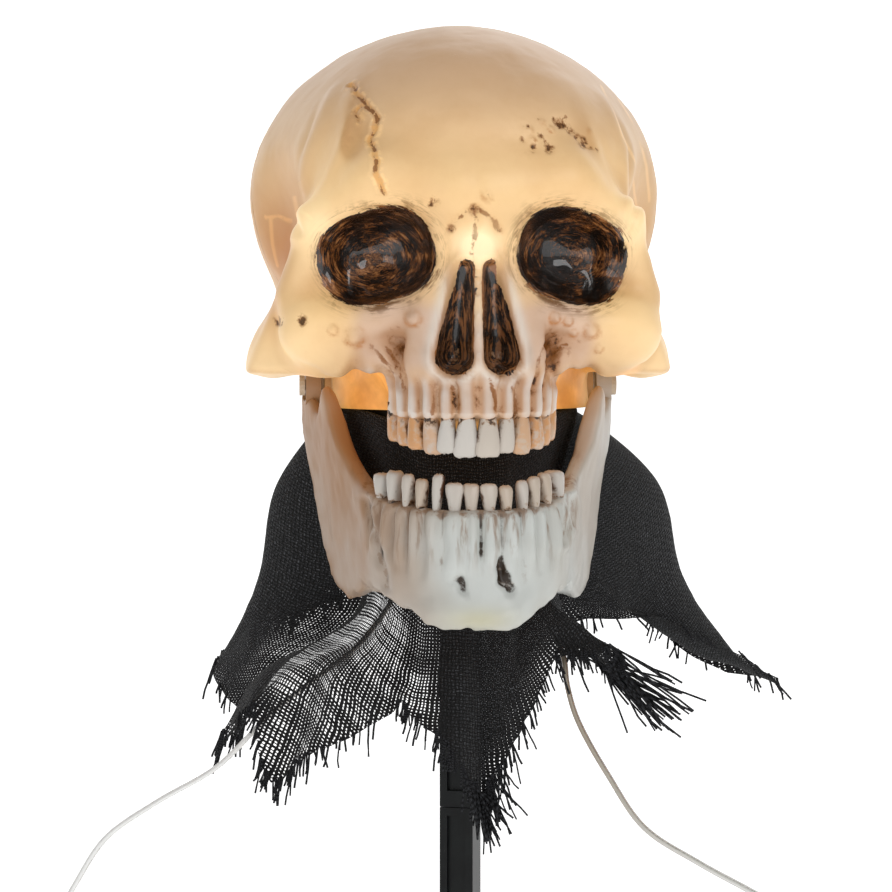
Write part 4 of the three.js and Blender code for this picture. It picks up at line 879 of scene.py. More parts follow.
# Jaw: stations from the chin to the back, with x, y, lower and upper edge, thickness and lean.
STATIONS = np.array([
    (0, -69, -64.5, -23.5, 13, 0), (12, -68, -64, -23.5, 12.5, 0), (23, -60.5, -58, -22, 12, 0.02),
    (30.5, -48, -53.5, -19.5, 11.5, 0.05), (36.5, -34.5, -54, -14, 10.5, 0.1),
    (41, -24, -57, -2, 9.5, 0.13), (44.5, -14.5, -58.5, 17.5, 8.5, 0.13), (47.5, -4, -55, 8, 8, 0.13),
    (50, 6, -43, 13, 7.5, 0.13), (51.2, 13, -24, 16, 7, 0.13), (52, 18.5, -1, 14, 6.5, 0.13),
])
# Lower teeth as seen in the picture: middle, width and top edge.
LOWER = [
    (385.5, 11, 473), (396, 10, 471), (409, 9, 474), (421.5, 10, 479), (436.5, 9.5, 474),
    (455, 15, 483), (471.5, 14, 484), (489.5, 14.5, 484), (506.5, 11.5, 486), (522.5, 9.5, 481),
    (533, 10, 477), (544, 10, 473), (555, 11, 471),
]


def station(run):
    """The jaw's values at places between its stations; negative places are on the left."""
    side = np.where(run < 0, -1.0, 1.0)
    reach = np.clip(np.abs(run), 0, 10)
    i = np.minimum(np.floor(reach).astype(int), 9)
    t = (reach - i)[:, None]
    mirror = STATIONS[1].copy()
    mirror[0] *= -1
    rows = np.vstack([mirror, STATIONS, STATIONS[-1]])
    made = curve_at(rows[i], rows[i + 1], rows[i + 2], rows[i + 3], t)
    made[:, 0] *= side
    return made


def lower_places():
    """Place, turn, width, depth and height of each lower tooth."""
    run = np.arange(-5.2, 5.2, 0.02)
    x, y, _, high, _, _ = station(run).T
    scale = PIXEL * (VIEW_DISTANCE + y) / VIEW_DISTANCE
    column = MIDDLE_PIXEL + (x - VIEW_MIDDLE[0] - TURN_SHIFT * y) / scale
    for middle, width, top in LOWER:
        k = np.argmin(np.abs(column - middle))
        edge = seen(middle, top, y[k])[1]
        turn = math.atan2(x[k], -(y[k] + 30))
        wide = 1.14 * width * scale[k] / max(0.55, math.cos(0.8 * turn))
        yield (x[k], y[k], high[k] - 0.8), turn, wide, 4.4 + 2.6 * abs(turn), edge - high[k] + 0.8


JAW_SECTION = np.array([(0, 0), (0.42, 0.04), (0.5, 0.35), (0.42, 0.75), (0.3, 0.98), (-0.3, 0.98),
                        (-0.45, 0.75), (-0.5, 0.35), (-0.38, 0.04)])
JAW_PITS = [(*seen(*q[:3]), q[3], q[4], q[5]) for q in (
    (502, 567, -76, 1.7, 3.6, -2.6), (506, 580, -76, 2.4, 3.4, -2.8), (512, 591, -76, 1.8, 2.2, -2.0),
    (463, 584, -76, 1.6, 3.4, -2.0), (456, 580, -76, 2.0, 1.6, -1.3), (466, 592, -76, 1.6, 1.8, -1.3),
    (483, 544, -76, 0.8, 1.3, -0.8), (482, 553, -76, 0.8, 1.0, -0.8), (508, 540, -76, 0.7, 1.1, -0.7),
    (583, 480, -30, 1.0, 3.0, -0.4), (544, 573, -70, 0.8, 0.8, -0.5), (509, 619, -76, 1.4, 1.4, -0.9))]
JAW_SEAMS = [[seen(*q) for q in line] for line in (
    ((366, 500, -46), (373, 520, -48), (378, 545, -50), (386, 586, -54)),
    ((568, 497, -46), (566, 515, -48), (562, 540, -52)), ((573, 500, -42), (574, 525, -44)))]


def jaw_mesh():
    """A bar swept along the stations, with roots, pits, seams and the chin raised on its outer face."""
    size = 96
    count = 321
    closed = np.vstack([JAW_SECTION, JAW_SECTION[:1]])
    flat = np.column_stack([closed, np.zeros(len(closed))]) * (0.3, 1, 1)
    around = catmull(flat, size + 1)[:-1, :2] / (0.3, 1)
    run = np.linspace(-10, 10, count)
    line = station(run)
    ahead, behind = station(run + 0.05), station(run - 0.05)
    away = np.stack([ahead[:, 1] - behind[:, 1], behind[:, 0] - ahead[:, 0]], 1) * -1
    away /= np.linalg.norm(away, axis=1)[:, None] + 1e-9
    inward = np.where(np.abs(line[:, 0]) < 30, away[:, 1] > 0, away[:, 0] * line[:, 0] < 0)
    away[inward] *= -1
    x, y, low, high, thick, lean = line.T
    taper = np.sqrt(np.clip((10 - np.abs(run)) / 0.35, 0, 1))
    middle = (low + high) / 2
    low = middle + (low - middle) * (0.35 + 0.65 * taper)
    high = middle + (high - middle) * (0.35 + 0.65 * taper)
    thick = thick * (0.2 + 0.8 * taper)
    z = low[:, None] + around[None, :, 1] * (high - low)[:, None]
    shift = np.where(x < 0, -1, 1)[:, None] * lean[:, None] * (z + 20)
    px = x[:, None] + shift + around[None, :, 0] * thick[:, None] * away[:, :1]
    py = y[:, None] + around[None, :, 0] * thick[:, None] * away[:, 1:]
    p = np.stack([px, py, z]).reshape(3, -1).astype(np.float32)
    side = around[None, :, 0].repeat(count, 0).ravel()
    out = np.repeat(away, size, 0)
    outer = step(-0.05, 0.2, side)
    lift = 0.5 * noise(p, 15, 11) + 0.3 * noise(p, 6, 12) + 0.1 * noise(p, 2.4, 13)
    travel = np.concatenate([[0], np.cumsum(np.hypot(*np.diff(line[:, :2], axis=0).T))])
    along = np.repeat(travel, size)
    for spot, _, width, _, _ in lower_places():
        middle = travel[np.argmin(np.hypot(line[:, 0] - spot[0], line[:, 1] - spot[1]))]
        gap = np.abs(along - middle) + 0.7 * noise(p, 9, 14)
        deep = 20 + 6 * math.sin(5 * spot[0])
        rise = step(-21, -25, p[2]) * step(-26 - deep, -28 - 0.35 * deep, p[2]) * outer
        lift += (1.7 * bell(gap, 0.38 * width) - 0.9 * bell(gap - 0.6 * width, 0.9)) * rise
    for ax, az, wide, tall, height in JAW_PITS:
        bend = 0.7 * noise(p, 2.4, 15)
        gap = np.sqrt(((p[0] - ax + bend) / wide) ** 2 + ((p[2] - az + bend) / tall) ** 2)
        lift += height * np.exp(-(gap**3)) * outer * (p[1] < -55)
    for line in JAW_SEAMS:
        gap = to_line(p[0] + 0.8 * noise(p, 5, 18), p[2], line)
        lift += (0.7 * bell(gap - 3, 2.0) - 1.3 * bell(gap, 1.4)) * outer
    chin = bell(p[0] - 1, 15) * bell(p[2] + 59, 7) * outer
    lift += 2.2 * chin + 1.2 * bell(np.abs(p[0]) - 13, 5) * bell(p[2] + 58, 6) * outer
    folds = lift.copy()
    # Hollows of the branches and the thick lower corners.
    lift -= 0.9 * bell(np.abs(p[0]) - 47, 9) * bell(p[2] + 22, 13) * outer
    lift += 1.2 * bell(p[1] + 12, 12) * bell(p[2] + 52, 7) * outer
    points = p.T.astype(float)
    points[:, 0] += lift * out[:, 0] * np.sign(side)
    points[:, 1] += lift * out[:, 1] * np.sign(side)
    edge = step(0.25, 0.0, around[None, :, 1].repeat(count, 0).ravel())
    rough = 1.3 * noise(p, 6, 16) + 0.8 * noise(p, 2.8, 17)
    points[:, 2] += edge * rough * step(9.6, 8, np.abs(run)).repeat(size)
    points, faces = skin(points.reshape(count, size, 3))
    obj = mesh_object("jaw_look", to_world(points), faces)
    paint(obj, "lift", np.concatenate([folds, [0, 0]]))
    return obj


jaw = jaw_mesh()
for side in (-1, 1):
    cut(
        jaw,
        ("UNION", hinge_bar(LUG_RADIUS, side, LUG_INNER, LUG_OUTER)),
        ("DIFFERENCE", hinge_bar(LUG_RADIUS + 0.003, side, LUG_INNER - 0.008, LUG_INNER)),
        ("DIFFERENCE", hinge_bar(LUG_RADIUS - 0.002, side, LUG_OUTER, LUG_OUTER + 0.008)),
        ("DIFFERENCE", hinge_bar(BORE_RADIUS, side, LUG_INNER - 0.004, LUG_OUTER + 0.004, BORE_SIDES)),
    )
lower_teeth = teeth("lower_teeth", list(lower_places()), False)

# Masks on the shells and the jaw, from their shape.
for obj in (face, cranium):
    p = to_local(vectors(obj.data.vertices, "co"))
    n = vectors(obj.data.vertex_normals, "vector").T
    m = [np.abs(p[0]), p[1], p[2]]
    base = skull_field(p)
    pinch = sum((h - (skull_field(p + h * n) - base)) / h for h in (2.0, 5.0, 9.0)) / 3
    front = step(-20, -36, p[1])
    socket, nose = socket_field(m), nose_field(m)
    crack, seam = mark_of(p)
    paint(obj, "pinch", pinch)
    paint(obj, "relief", relief_of(p))
    behind_socket = socket_field([m[0], np.full(len(p[0]), SOCKET[1]), m[2]])
    through = step(2.0, 0.0, behind_socket) * step(-24, -38, p[1])
    paint(obj, "socket", np.maximum(step(2.2, 0.2, socket) * front, through))
    paint(obj, "rim", bell(socket - 2.2, 2.6) * front)
    gums = step(9.5, 7, p[2]) * step(-34, -46, p[1]) * step(40, 34, m[0])
    paint(obj, "gums", gums)
    paint(obj, "nose", step(1.4, 0.0, nose) * step(-50, -58, p[1]))
    paint(obj, "nose_rim", bell(nose - 3.2, 2.0) * front * step(66, 54, p[2]))
    reach = np.hypot(m[0] - SOCKET[0], 1.25 * (p[2] - SOCKET[2]))
    turn = np.arctan2(p[2] - SOCKET[2], m[0] - SOCKET[0])
    swirl = [0.55 * reach, 1.5 * np.cos(turn) + 5 * np.sign(p[0]), 1.5 * np.sin(turn)]
    paint(obj, "swirl", np.stack(swirl, 1))
    spots = np.zeros(len(p[0]))
    bump_shade = np.zeros(len(p[0]))
    for ax, az, radius, height in PITS:
        gap = np.hypot(p[0] - ax + 0.5 * noise(p, 2.2, 6), p[2] - az)
        if height < 0:
            spots = np.maximum(spots, bell(gap, radius * 1.5))
        else:
            # Painted shade: a ring round each raised bump, heavier on its lower side.
            ring = bell(gap - 1.15 * radius, 0.32 * radius)
            bump_shade = np.maximum(bump_shade, ring * (0.4 + 0.6 * step(0.6 * radius, -0.6 * radius, p[2] - az)))
    paint(obj, "crack", crack)
    paint(obj, "seam", np.minimum(seam, 20) + 20 * (1 - front))
    vein = np.min([to_line(p[0], p[2] + 0.7 * noise(p, 5, 33), line) for line in VEINS], axis=0)
    paint(obj, "vein", np.minimum(vein, 20) + 20 * step(16, 24, p[1]))
    paint(obj, "spots", spots * front)
    paint(obj, "bump_shade", bump_shade * front)
    upper_jaw = step(50, 36, p[2] - 0.15 * m[0]) * step(-40, -52, p[1]) * step(46, 36, m[0])
    nasion = bell(m[0], 16) * bell(p[2] - 78, 9) * front
    paint(obj, "dirty", np.clip(upper_jaw + 0.5 * nasion + 0.12, 0, 1))
    # Where the lamp shines through: brow, bridge, cheeks, temples and the wall behind the arches.
    brow = np.where(p[2] > 87, bell(p[2] - 87, 26), bell(p[2] - 87, 13)) * step(-30, -58, p[1])
    corner = bell(m[0] - 56, 11) * bell(p[2] - 76, 13) * step(-22, -44, p[1])
    bridge = bell(m[0], 10) * bell(p[2] - 69, 7) * step(-68, -78, p[1])
    flare = step(46, 66, m[0]) * bell(p[2] - 30, 17) * step(24, -10, p[1])
    cheek = bell(m[0] - 52, 13) * bell(p[2] - 46, 11) * step(-30, -44, p[1])
    wall = step(-56, -42, p[1]) * step(50, 38, p[2]) * step(64, 54, m[0]) * step(4, -14, p[1])
    temple = step(52, 64, m[0]) * bell(p[2] - 66, 24) * step(-58, -34, p[1]) * step(50, 0, p[1])
    paint(obj, "brow", np.clip(brow, 0, 1))
    paint(obj, "bright", np.clip(corner + 0.8 * flare, 0, 1.3))
    paint(obj, "cheek", np.clip(cheek, 0, 1))
    paint(obj, "under", np.clip(wall, 0, 1))
    paint(obj, "ember", np.clip(gums + wall + 0.8 * temple * np.where(p[0] < 0, 1.0, 0.5), 0, 1))
    inner_cheek = bell(m[0] - 24, 15) * bell(p[2] - 40, 11) * front
    paint(obj, "cool", np.clip(upper_jaw * step(18, 34, p[2]) + 0.9 * inner_cheek, 0, 1))
    paint(obj, "warm", np.clip(upper_jaw * step(34, 18, p[2]), 0, 1))
    paint(obj, "bridge", np.clip(1.3 * bridge, 0, 1))
    paint(obj, "height", p[2])

p = to_local(vectors(jaw.data.vertices, "co"))
border = np.interp(np.abs(p[0]), (0, 12, 23, 30.5, 36.5), (-23.5, -23.5, -22, -19.5, -14))
paint(jaw, "border", bell(p[2] - border + 0.8, 1.8) * step(40, 35, np.abs(p[0])))
paint(jaw, "rooted", step(-48, -26, p[2]) * step(44, 36, np.abs(p[0])))
paint(jaw, "green", bell(p[0] - 1, 11) * bell(p[2] + 61, 4) * step(-50, -60, p[1]))
# Tan on the branches, with painted shade: the left branch and the left of the body are darker.
tan_and_left_shade = step(34, 44, np.abs(p[0])) * np.where(p[0] < 0, 1.0, 0.3) + 0.7 * step(-8, -30, p[0])
paint(jaw, "tan_and_left_shade", np.clip(tan_and_left_shade, 0, 1))
paint(jaw, "lit", step(0, 16, p[2]) * step(36, 44, np.abs(p[0])))
seam = np.min([to_line(p[0] + 0.8 * noise(p, 5, 18), p[2], line) for line in JAW_SEAMS], axis=0)
paint(jaw, "seam", np.minimum(seam, 20))

# Finish of the shells, with painted shade and painted lamp glow in their colour.
shell = Look("skull_shell", Roughness=0.42, IOR=1.46, Specular_IOR_Level=0.3)
mottle = shell.noise(38, 5, 0.6)
fine = shell.noise(260, 4, 0.65)
high = shell.span(shell.mask("height"), 85, 145)
bone_look = shell.mix(high, shade(216, 182, 138), shade(206, 170, 140))
bone_look = shell.mix(shell.mask("cool"), bone_look, shade(202, 172, 150))
bone_look = shell.mix(shell.mask("warm"), bone_look, shade(204, 172, 146))
roots = shell.times(shell.mask("warm"), shell.span(shell.mask("relief"), 0.3, 1.5, 0, 0.9))
bone_look = shell.mix(roots, bone_look, shade(208, 202, 196))
bone_look = shell.mix(shell.span(mottle, 0.35, 0.75, 0, 0.4), bone_look, shade(192, 148, 106))
bone_look = shell.mix(shell.times(shell.mask("nose_rim"), 0.6), bone_look, shade(214, 210, 202))
bone_look = shell.mix(shell.mask("ember"), bone_look, shade(178, 102, 40))
# Painted shade: hollows darkened to orange-brown by how deep they are.
bone_look = shell.mix(shell.span(shell.mask("pinch"), 0.04, 0.45, 0, 0.6), bone_look, shade(158, 104, 58))
dirt = shell.plus(shell.mask("pinch"), shell.times(shell.mask("relief"), -0.2))
dirt = shell.plus(dirt, shell.span(fine, 0.3, 0.75, -0.25, 0.27))
dirt = shell.plus(dirt, shell.span(mottle, 0.35, 0.7, -0.16, 0.12))
grime = shell.times(shell.span(dirt, 0.3, 0.8), shell.mask("dirty"))
torn = shell.span(fine, 0.3, 0.7, -0.6, 0.6)
faded = shell.span(mottle, 0.3, 0.6, 0.35, 1)
crack = shell.span(shell.plus(shell.mask("crack"), torn), 0.6, 0.2, 0, 0.9)
# Painted light: an orange band beside the crack, where lamp light leaks through.
crack_glow = shell.times(shell.span(shell.mask("crack"), 1.5, 0.7), shell.span(fine, 0.4, 0.6, 0.2, 0.8))
leak = shell.times(shell.span(shell.mask("crack"), 3.0, 1.6), shell.span(fine, 0.45, 0.6))
seam_line = shell.times(shell.span(shell.plus(shell.mask("seam"), torn), 0.85, 0.1), faded)
spots = shell.span(shell.times(shell.mask("spots"), shell.span(fine, 0.32, 0.6)), 0.25, 0.8)
# Painted shade round the raised bumps.
bump_shade = shell.times(shell.mask("bump_shade"), shell.span(fine, 0.35, 0.6, 0.2, 0.9))
marks = shell.most(shell.most(crack, spots), seam_line)
grime = shell.most(grime, marks, clamp=True)
# Painted light and shade in one orange-brown: the glow beside the crack and the shade round the bumps.
bone_look = shell.mix(shell.most(crack_glow, bump_shade), bone_look, shade(176, 112, 52))
stained = shell.mix(grime, bone_look, shade(138, 86, 42))
stained = shell.mix(shell.span(shell.times(grime, fine), 0.42, 0.64), stained, shade(66, 38, 18))
strokes = shell.noise(1.0, 5, 0.72, 1.2, shell.vector("swirl"))
rough_strokes = shell.noise(1.6, 5, 0.75, 0.8, shell.vector("swirl"))
blotch = shell.noise(95, 4, 0.6, 0.5)
coat = shell.gain(blotch, 0.8, rough_strokes)
black = shell.mix(shell.span(coat, 0.87, 1.04), shade(18, 12, 8), shade(126, 76, 38))
black = shell.mix(shell.span(coat, 1.0, 1.14), black, shade(196, 134, 80))
black = shell.mix(shell.span(strokes, 0.44, 0.34), black, shade(12, 9, 7))
brushed = shell.times(shell.mask("rim"), shell.span(coat, 0.84, 1.04))
stained = shell.mix(shell.times(brushed, 0.95), stained, shade(96, 56, 28))
paint_mask = shell.plus(shell.mask("socket"), shell.span(rough_strokes, 0.3, 0.7, -0.45, 0.45))
inside = shell.span(paint_mask, 0.42, 0.58)
nose_mask = shell.plus(shell.mask("nose"), shell.span(fine, 0.3, 0.7, -0.2, 0.2))
in_nose = shell.span(nose_mask, 0.45, 0.6)
streak = shell.noise(1, 4, 0.65, 0.4, shell.place((420, 420, 90)))
nose_look = shell.mix(shell.span(streak, 0.46, 0.6), shade(22, 15, 11), shade(156, 102, 60))
painted = shell.most(inside, in_nose)
colour = shell.mix(inside, stained, black)
colour = shell.mix(in_nose, colour, nose_look)
shell.set("Base Color", colour)
shell.set("Roughness", shell.span(painted, 0, 1, 0.38, 0.17))
shell.set("Coat Weight", painted)
bare = shell.most(painted, shell.times(shell.most(grime, bump_shade), 0.85))
bare = shell.math("SUBTRACT", 1.0, bare)
lamp_light = shell.span(shell.most(shell.mask("cool"), shell.mask("warm")), 0, 1, 0.07, 0.02)
for name, strength in (("brow", 0.17), ("bright", 0.26), ("bridge", 0.55), ("cheek", 0.22), ("gums", 0.3)):
    lamp_light = shell.gain(shell.mask(name), strength, lamp_light)
lamp_light = shell.gain(shell.mask("under"), shell.span(mottle, 0.3, 0.7, 0.2, 0.6), lamp_light)
vein = shell.times(shell.span(shell.mask("vein"), 1.1, 0.2), shell.span(mottle, 0.35, 0.55))
lamp_light = shell.gain(shell.most(leak, vein), 0.14, lamp_light)
glow_tint = shell.mix(shell.mask("bridge"), shade(255, 214, 138), shade(255, 240, 200))
glow_tint = shell.mix(shell.mask("bright"), glow_tint, shade(255, 236, 184))
shell.set("Emission Color", shell.mix(shell.mask("ember"), glow_tint, shade(255, 190, 100)))
shell.set("Emission Strength", shell.times(lamp_light, bare))
height = shell.times(shell.times(rough_strokes, painted), 3.5)
height = shell.gain(fine, 0.3, height)
shell.bump(shell.math("SUBTRACT", height, shell.times(grime, 0.5)), 0.35, 0.0006)

enamel = Look("tooth_look", Roughness=0.34, IOR=1.5)
speck = enamel.noise(300, 4, 0.6)
neck = enamel.plus(enamel.mask("crown"), enamel.span(speck, 0.3, 0.7, -0.22, 0.22))
stain = enamel.span(enamel.mask("stain"), 0.4, 1, 0, 0.5)
tone = enamel.mix(stain, shade(188, 182, 174), shade(180, 156, 128))
outer = enamel.times(enamel.mask("outer"), enamel.span(speck, 0.36, 0.56, 0.35, 0.95))
tone = enamel.mix(outer, tone, shade(196, 142, 90))
tone = enamel.mix(enamel.span(neck, 0.16, -0.06), tone, shade(150, 112, 76))
between = enamel.plus(enamel.mask("beside"), enamel.span(speck, 0.3, 0.7, -0.16, 0.16))
between = enamel.plus(between, enamel.span(enamel.mask("crown"), 0.35, 0.9, 0, -0.4))
tone = enamel.mix(enamel.span(between, 0.72, 1.0), tone, shade(84, 54, 32))
enamel.set("Base Color", enamel.mix(enamel.span(neck, 0.06, -0.08), tone, shade(52, 35, 22)))
enamel.bump(enamel.noise(1, 3, 0.6, 0, enamel.place((900, 900, 160))), 0.2, 0.0004)

jaw_look = Look("jaw_shell", Roughness=0.42, IOR=1.46)
mottle = jaw_look.noise(30, 2, 0.5)
fine = jaw_look.noise(300, 4, 0.65)
streaks = jaw_look.noise(1, 4, 0.6, 0.3, jaw_look.place((260, 260, 40)))
tone = jaw_look.mix(jaw_look.span(mottle, 0.35, 0.7, 0, 0.7), shade(190, 193, 189), shade(172, 168, 158))
# Painted shade with the tan: the left side of the jaw goes darker and browner.
tan_and_left_shade = jaw_look.times(jaw_look.mask("tan_and_left_shade"), jaw_look.span(mottle, 0.3, 0.65, 0.7, 1.0))
tone = jaw_look.mix(tan_and_left_shade, tone, shade(150, 110, 72))
tone = jaw_look.mix(jaw_look.times(jaw_look.mask("green"), 0.4), tone, shade(182, 174, 116))
hollow = jaw_look.gain(jaw_look.mask("lift"), -0.4, jaw_look.span(fine, 0.3, 0.7, -0.3, 0.3))
edge = jaw_look.times(jaw_look.mask("border"), 0.9)
grime = jaw_look.times(jaw_look.span(jaw_look.plus(hollow, edge), 0.35, 1.0), 0.75)
seam_gap = jaw_look.plus(jaw_look.mask("seam"), jaw_look.span(fine, 0.3, 0.7, -1.0, 1.0))
grime = jaw_look.most(grime, jaw_look.span(seam_gap, 0.5, -0.5, 0, 0.5))
rooted = jaw_look.times(jaw_look.mask("rooted"), jaw_look.span(streaks, 0.5, 0.66, 0, 0.75))
tone = jaw_look.mix(jaw_look.most(grime, rooted), tone, shade(120, 86, 54))
deep = jaw_look.span(jaw_look.mask("lift"), -0.8, -1.5)
deep = jaw_look.times(deep, jaw_look.span(fine, 0.25, 0.5))
jaw_look.set("Base Color", jaw_look.mix(deep, tone, shade(44, 32, 20)))
jaw_look.set("Emission Color", shade(255, 190, 120))
jaw_look.set("Emission Strength", jaw_look.times(jaw_look.mask("lit"), 0.05))
jaw_look.bump(jaw_look.gain(streaks, 0.3, jaw_look.times(fine, 0.4)), 0.25, 0.0006)

for obj, look in ((face, shell), (cranium, shell), (upper_teeth, enamel), (lower_teeth, enamel),
                  (jaw, jaw_look)):
    dress(obj, look)
face = join(face, upper_teeth)
jaw = join(jaw, lower_teeth)
for obj, body, replaced, slot in (
    (face, "skull", "face_shell", "shell"),
    (cranium, "skull", "cranium_shell", "shell"),
    (jaw, "jaw", "jaw", "jaw"),
):
    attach(obj, body)
    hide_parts(replaced)

# Shroud.
# Height of the tie and mean height of the hem, and the reach of the longest tail.
TIE = -6.8
HEM = -94
LONGEST_TAIL = 54
# How far the hem hangs below its mean level, by direction in degrees.
HEM_DROPS = [
    (-180, 24), (-171, 13), (-161, 2), (-149, 31), (-133, 15), (-117, 0), (-98, 17), (-83, 38),
    (-70, 6), (-55, -14), (-43, -18), (-36, -8), (-31, -12), (-24, -16), (4, -20), (10, -24),
    (14, -22), (20, 9), (26, 4), (30, -8), (34, -18), (40, -28), (50, -34), (68, -30), (88, -20),
    (108, -30), (128, -16), (146, -20), (162, 4), (180, 24),
]
# Tails: direction, half width and reach.
FLARES = [(20, 7, LONGEST_TAIL), (-36, 8, 4), (-149, 12, 12), (180, 11, 14)]


def off_angle(turn, degrees):
    away = turn - math.radians(degrees)
    return np.degrees(np.arctan2(np.sin(away), np.cos(away)))


def shroud_rows(turn):
    """Radius and height of each row of the cloth at the given angles, in millimetres."""
    degrees = np.degrees(np.arctan2(np.sin(turn), np.cos(turn)))
    behind = step(8, 26, degrees) * (1 - step(154, 172, degrees))
    tucked = step(-44, -24, degrees) * (1 - step(26, 40, degrees))
    beside = step(0.35, 0.95, np.abs(np.cos(turn)))
    drop = np.interp(degrees, *np.array(HEM_DROPS).T)
    flare = np.max([reach * bell(off_angle(turn, at), spread) for at, spread, reach in FLARES], axis=0)
    wave = np.cos(11 * turn + 0.6) + 0.5 * np.cos(17 * turn + 2)
    across = np.cos(turn)
    one = np.ones_like(turn)

    def mix(tight, free):
        return tight + behind * (free - tight)

    def tuck(radius, held):
        return radius + tucked * (held - radius)

    def sag(part):
        return shoulder + part * (level - shoulder)

    level = HEM + np.maximum(0, -drop)
    shoulder = mix(-22, -20)
    free = 1 - tucked
    hang = mix(0.875, 0.77) + 0.1 * flare / LONGEST_TAIL
    round_it = np.stack([40 * np.cos(turn), 40 * np.sin(turn), 0 * turn])
    ragged = 2.2 * noise(round_it, 5, 31) + 1.4 * noise(round_it, 1.6, 32)
    return [
        (26.0 * one, TIE * one),
        (26.2 * one, (TIE + 4.5) * one),
        (mix(31, 32) * one, (TIE + 7.8) * one),
        (mix(36 + 8 * beside, 48) + 0.4 * wave, TIE + mix(7.6 + 8 * beside, 15.2)),
        (mix(36.5, 81 + 8 * across) + 0.8 * wave, shoulder),
        (mix(37.5 + 2 * (1 - beside), 90 + 11 * across) + 1.5 * wave * free, sag(mix(0.61, 0.5))),
        (mix(tuck(45 + 20 * beside, 39), 96 + 10 * across) + 0.35 * flare + 3 * wave * free, sag(hang)),
        (mix(tuck(54 + 22 * beside, 41), 97) + flare + 4 * wave * free, HEM - drop - ragged),
    ]


def shroud_grid(columns, rows):
    """Points (3, rows, columns) of the cloth, the columns' angles and the rows' places."""
    turn = np.linspace(0, 2 * np.pi, columns, endpoint=False)
    table = shroud_rows(turn)
    radius = np.stack([r for r, _ in table])
    height = np.stack([z for _, z in table])
    at = np.linspace(0, 7, rows)
    i = np.minimum(at.astype(int), 6)
    t = (at - i)[:, None]

    def smooth(values):
        padded = np.vstack([2 * values[:1] - values[1:2], values, 2 * values[-1:] - values[-2:-1]])
        return curve_at(padded[i], padded[i + 1], padded[i + 2], padded[i + 3], t)

    r, z = smooth(radius), smooth(height)
    p = np.stack([r * np.cos(turn), 12 + r * np.sin(turn), z])
    return p, turn, at


columns = 720
rows = 150
grid, turns, at = shroud_grid(columns, rows)
flat = grid.reshape(3, -1).astype(np.float32)
loose = np.repeat(step(3, 6.5, at), columns)
away = np.stack([np.cos(turns), np.sin(turns), 0 * turns])[:, None].repeat(rows, 1).reshape(3, -1)
stretched = flat * np.array([[1], [1], [0.35]], np.float32)
folds = 1.8 * noise(stretched, 15, 21) + 0.9 * noise(stretched, 7, 22) + 0.3 * noise(flat, 4, 23)
flat = flat + away * (loose * folds)
cloth_grid = flat.reshape(3, rows, columns)
i, j = np.meshgrid(np.arange(rows - 1), np.arange(columns), indexing="ij")
k = (j + 1) % columns
quads = [i * columns + j, (i + 1) * columns + j, (i + 1) * columns + k, i * columns + k]
quads = np.stack(quads, -1).reshape(-1, 4)
cloth = mesh_object("burlap", to_world(flat.T), quads)
lengths = np.linalg.norm(np.diff(cloth_grid, axis=1), axis=0)
run = np.concatenate([np.zeros((1, columns)), np.cumsum(lengths, 0)])
# Threads round the cloth, and millimetres a thread down it.
THREADS = 430
PITCH = 1.25
ring = cloth_grid[:, int(0.8 * rows)]
spacing = np.linalg.norm(np.roll(ring, -1, 1) - ring, axis=0)
across = np.concatenate([[0], np.cumsum(spacing)])[:-1] / spacing.sum() * THREADS
thread = np.stack([np.tile(across, rows), (run / PITCH).ravel()], 1)
paint(cloth, "thread", np.column_stack([thread, np.zeros(rows * columns)]))
below = run[-1] - run
# Wear at the front left and along the hem; the same mask darkens the cloth there as painted shade.
front_left = step(8, -30, flat[0]) * step(40, 10, flat[1]) * step(-44, -70, flat[2])
wear_and_shade = front_left * (0.8 + 0.5 * noise(flat, 24, 24) + 0.4 * noise(flat, 9, 25))
hem_wear = 0.5 * step(16, 1, below.ravel()) * (0.7 + 0.6 * noise(flat, 12, 26))
paint(cloth, "wear_and_shade", np.clip(np.maximum(wear_and_shade, hem_wear) + 0.1, 0, 0.82))

burlap = Look("burlap_weave", Roughness=0.85, Specular_IOR_Level=0.3, Sheen_Weight=0.08,
              Sheen_Roughness=0.4)
place = burlap.vector("thread")
sway = burlap.node("ShaderNodeTexNoise", {"Vector": place, "Scale": 0.22, "Detail": 2}).outputs["Color"]
sway = burlap.node("ShaderNodeVectorMath", {0: sway, 1: (0.5, 0.5, 0.5)}, operation="SUBTRACT").outputs[0]
place = burlap.node("ShaderNodeVectorMath", {0: sway, 1: (1.1, 1.1, 0), 2: place},
                    operation="MULTIPLY_ADD").outputs[0]
axes = burlap.node("ShaderNodeSeparateXYZ", {0: place}).outputs
waves = [burlap.math("SINE", burlap.times(axes[k], math.pi)) for k in (0, 1)]
warp, weft = (burlap.math("ABSOLUTE", wave) for wave in waves)
over = burlap.span(burlap.times(*waves), -0.25, 0.25)
height = burlap.gain(over, burlap.math("SUBTRACT", warp, weft), weft)
fuzz = burlap.noise(1.7, 4, 0.7, 0.4, place)
# Painted shade: the dips between the threads darker than their crowns.
colour = burlap.mix(burlap.span(height, 0.35, 1.0), shade(5, 5, 6), shade(22, 23, 24))
# Painted highlight: pale flecks on the crowns of the threads.
crown_highlight = burlap.times(burlap.span(height, 0.7, 1.0), burlap.span(fuzz, 0.45, 0.65))
colour = burlap.mix(crown_highlight, colour, shade(88, 90, 94))
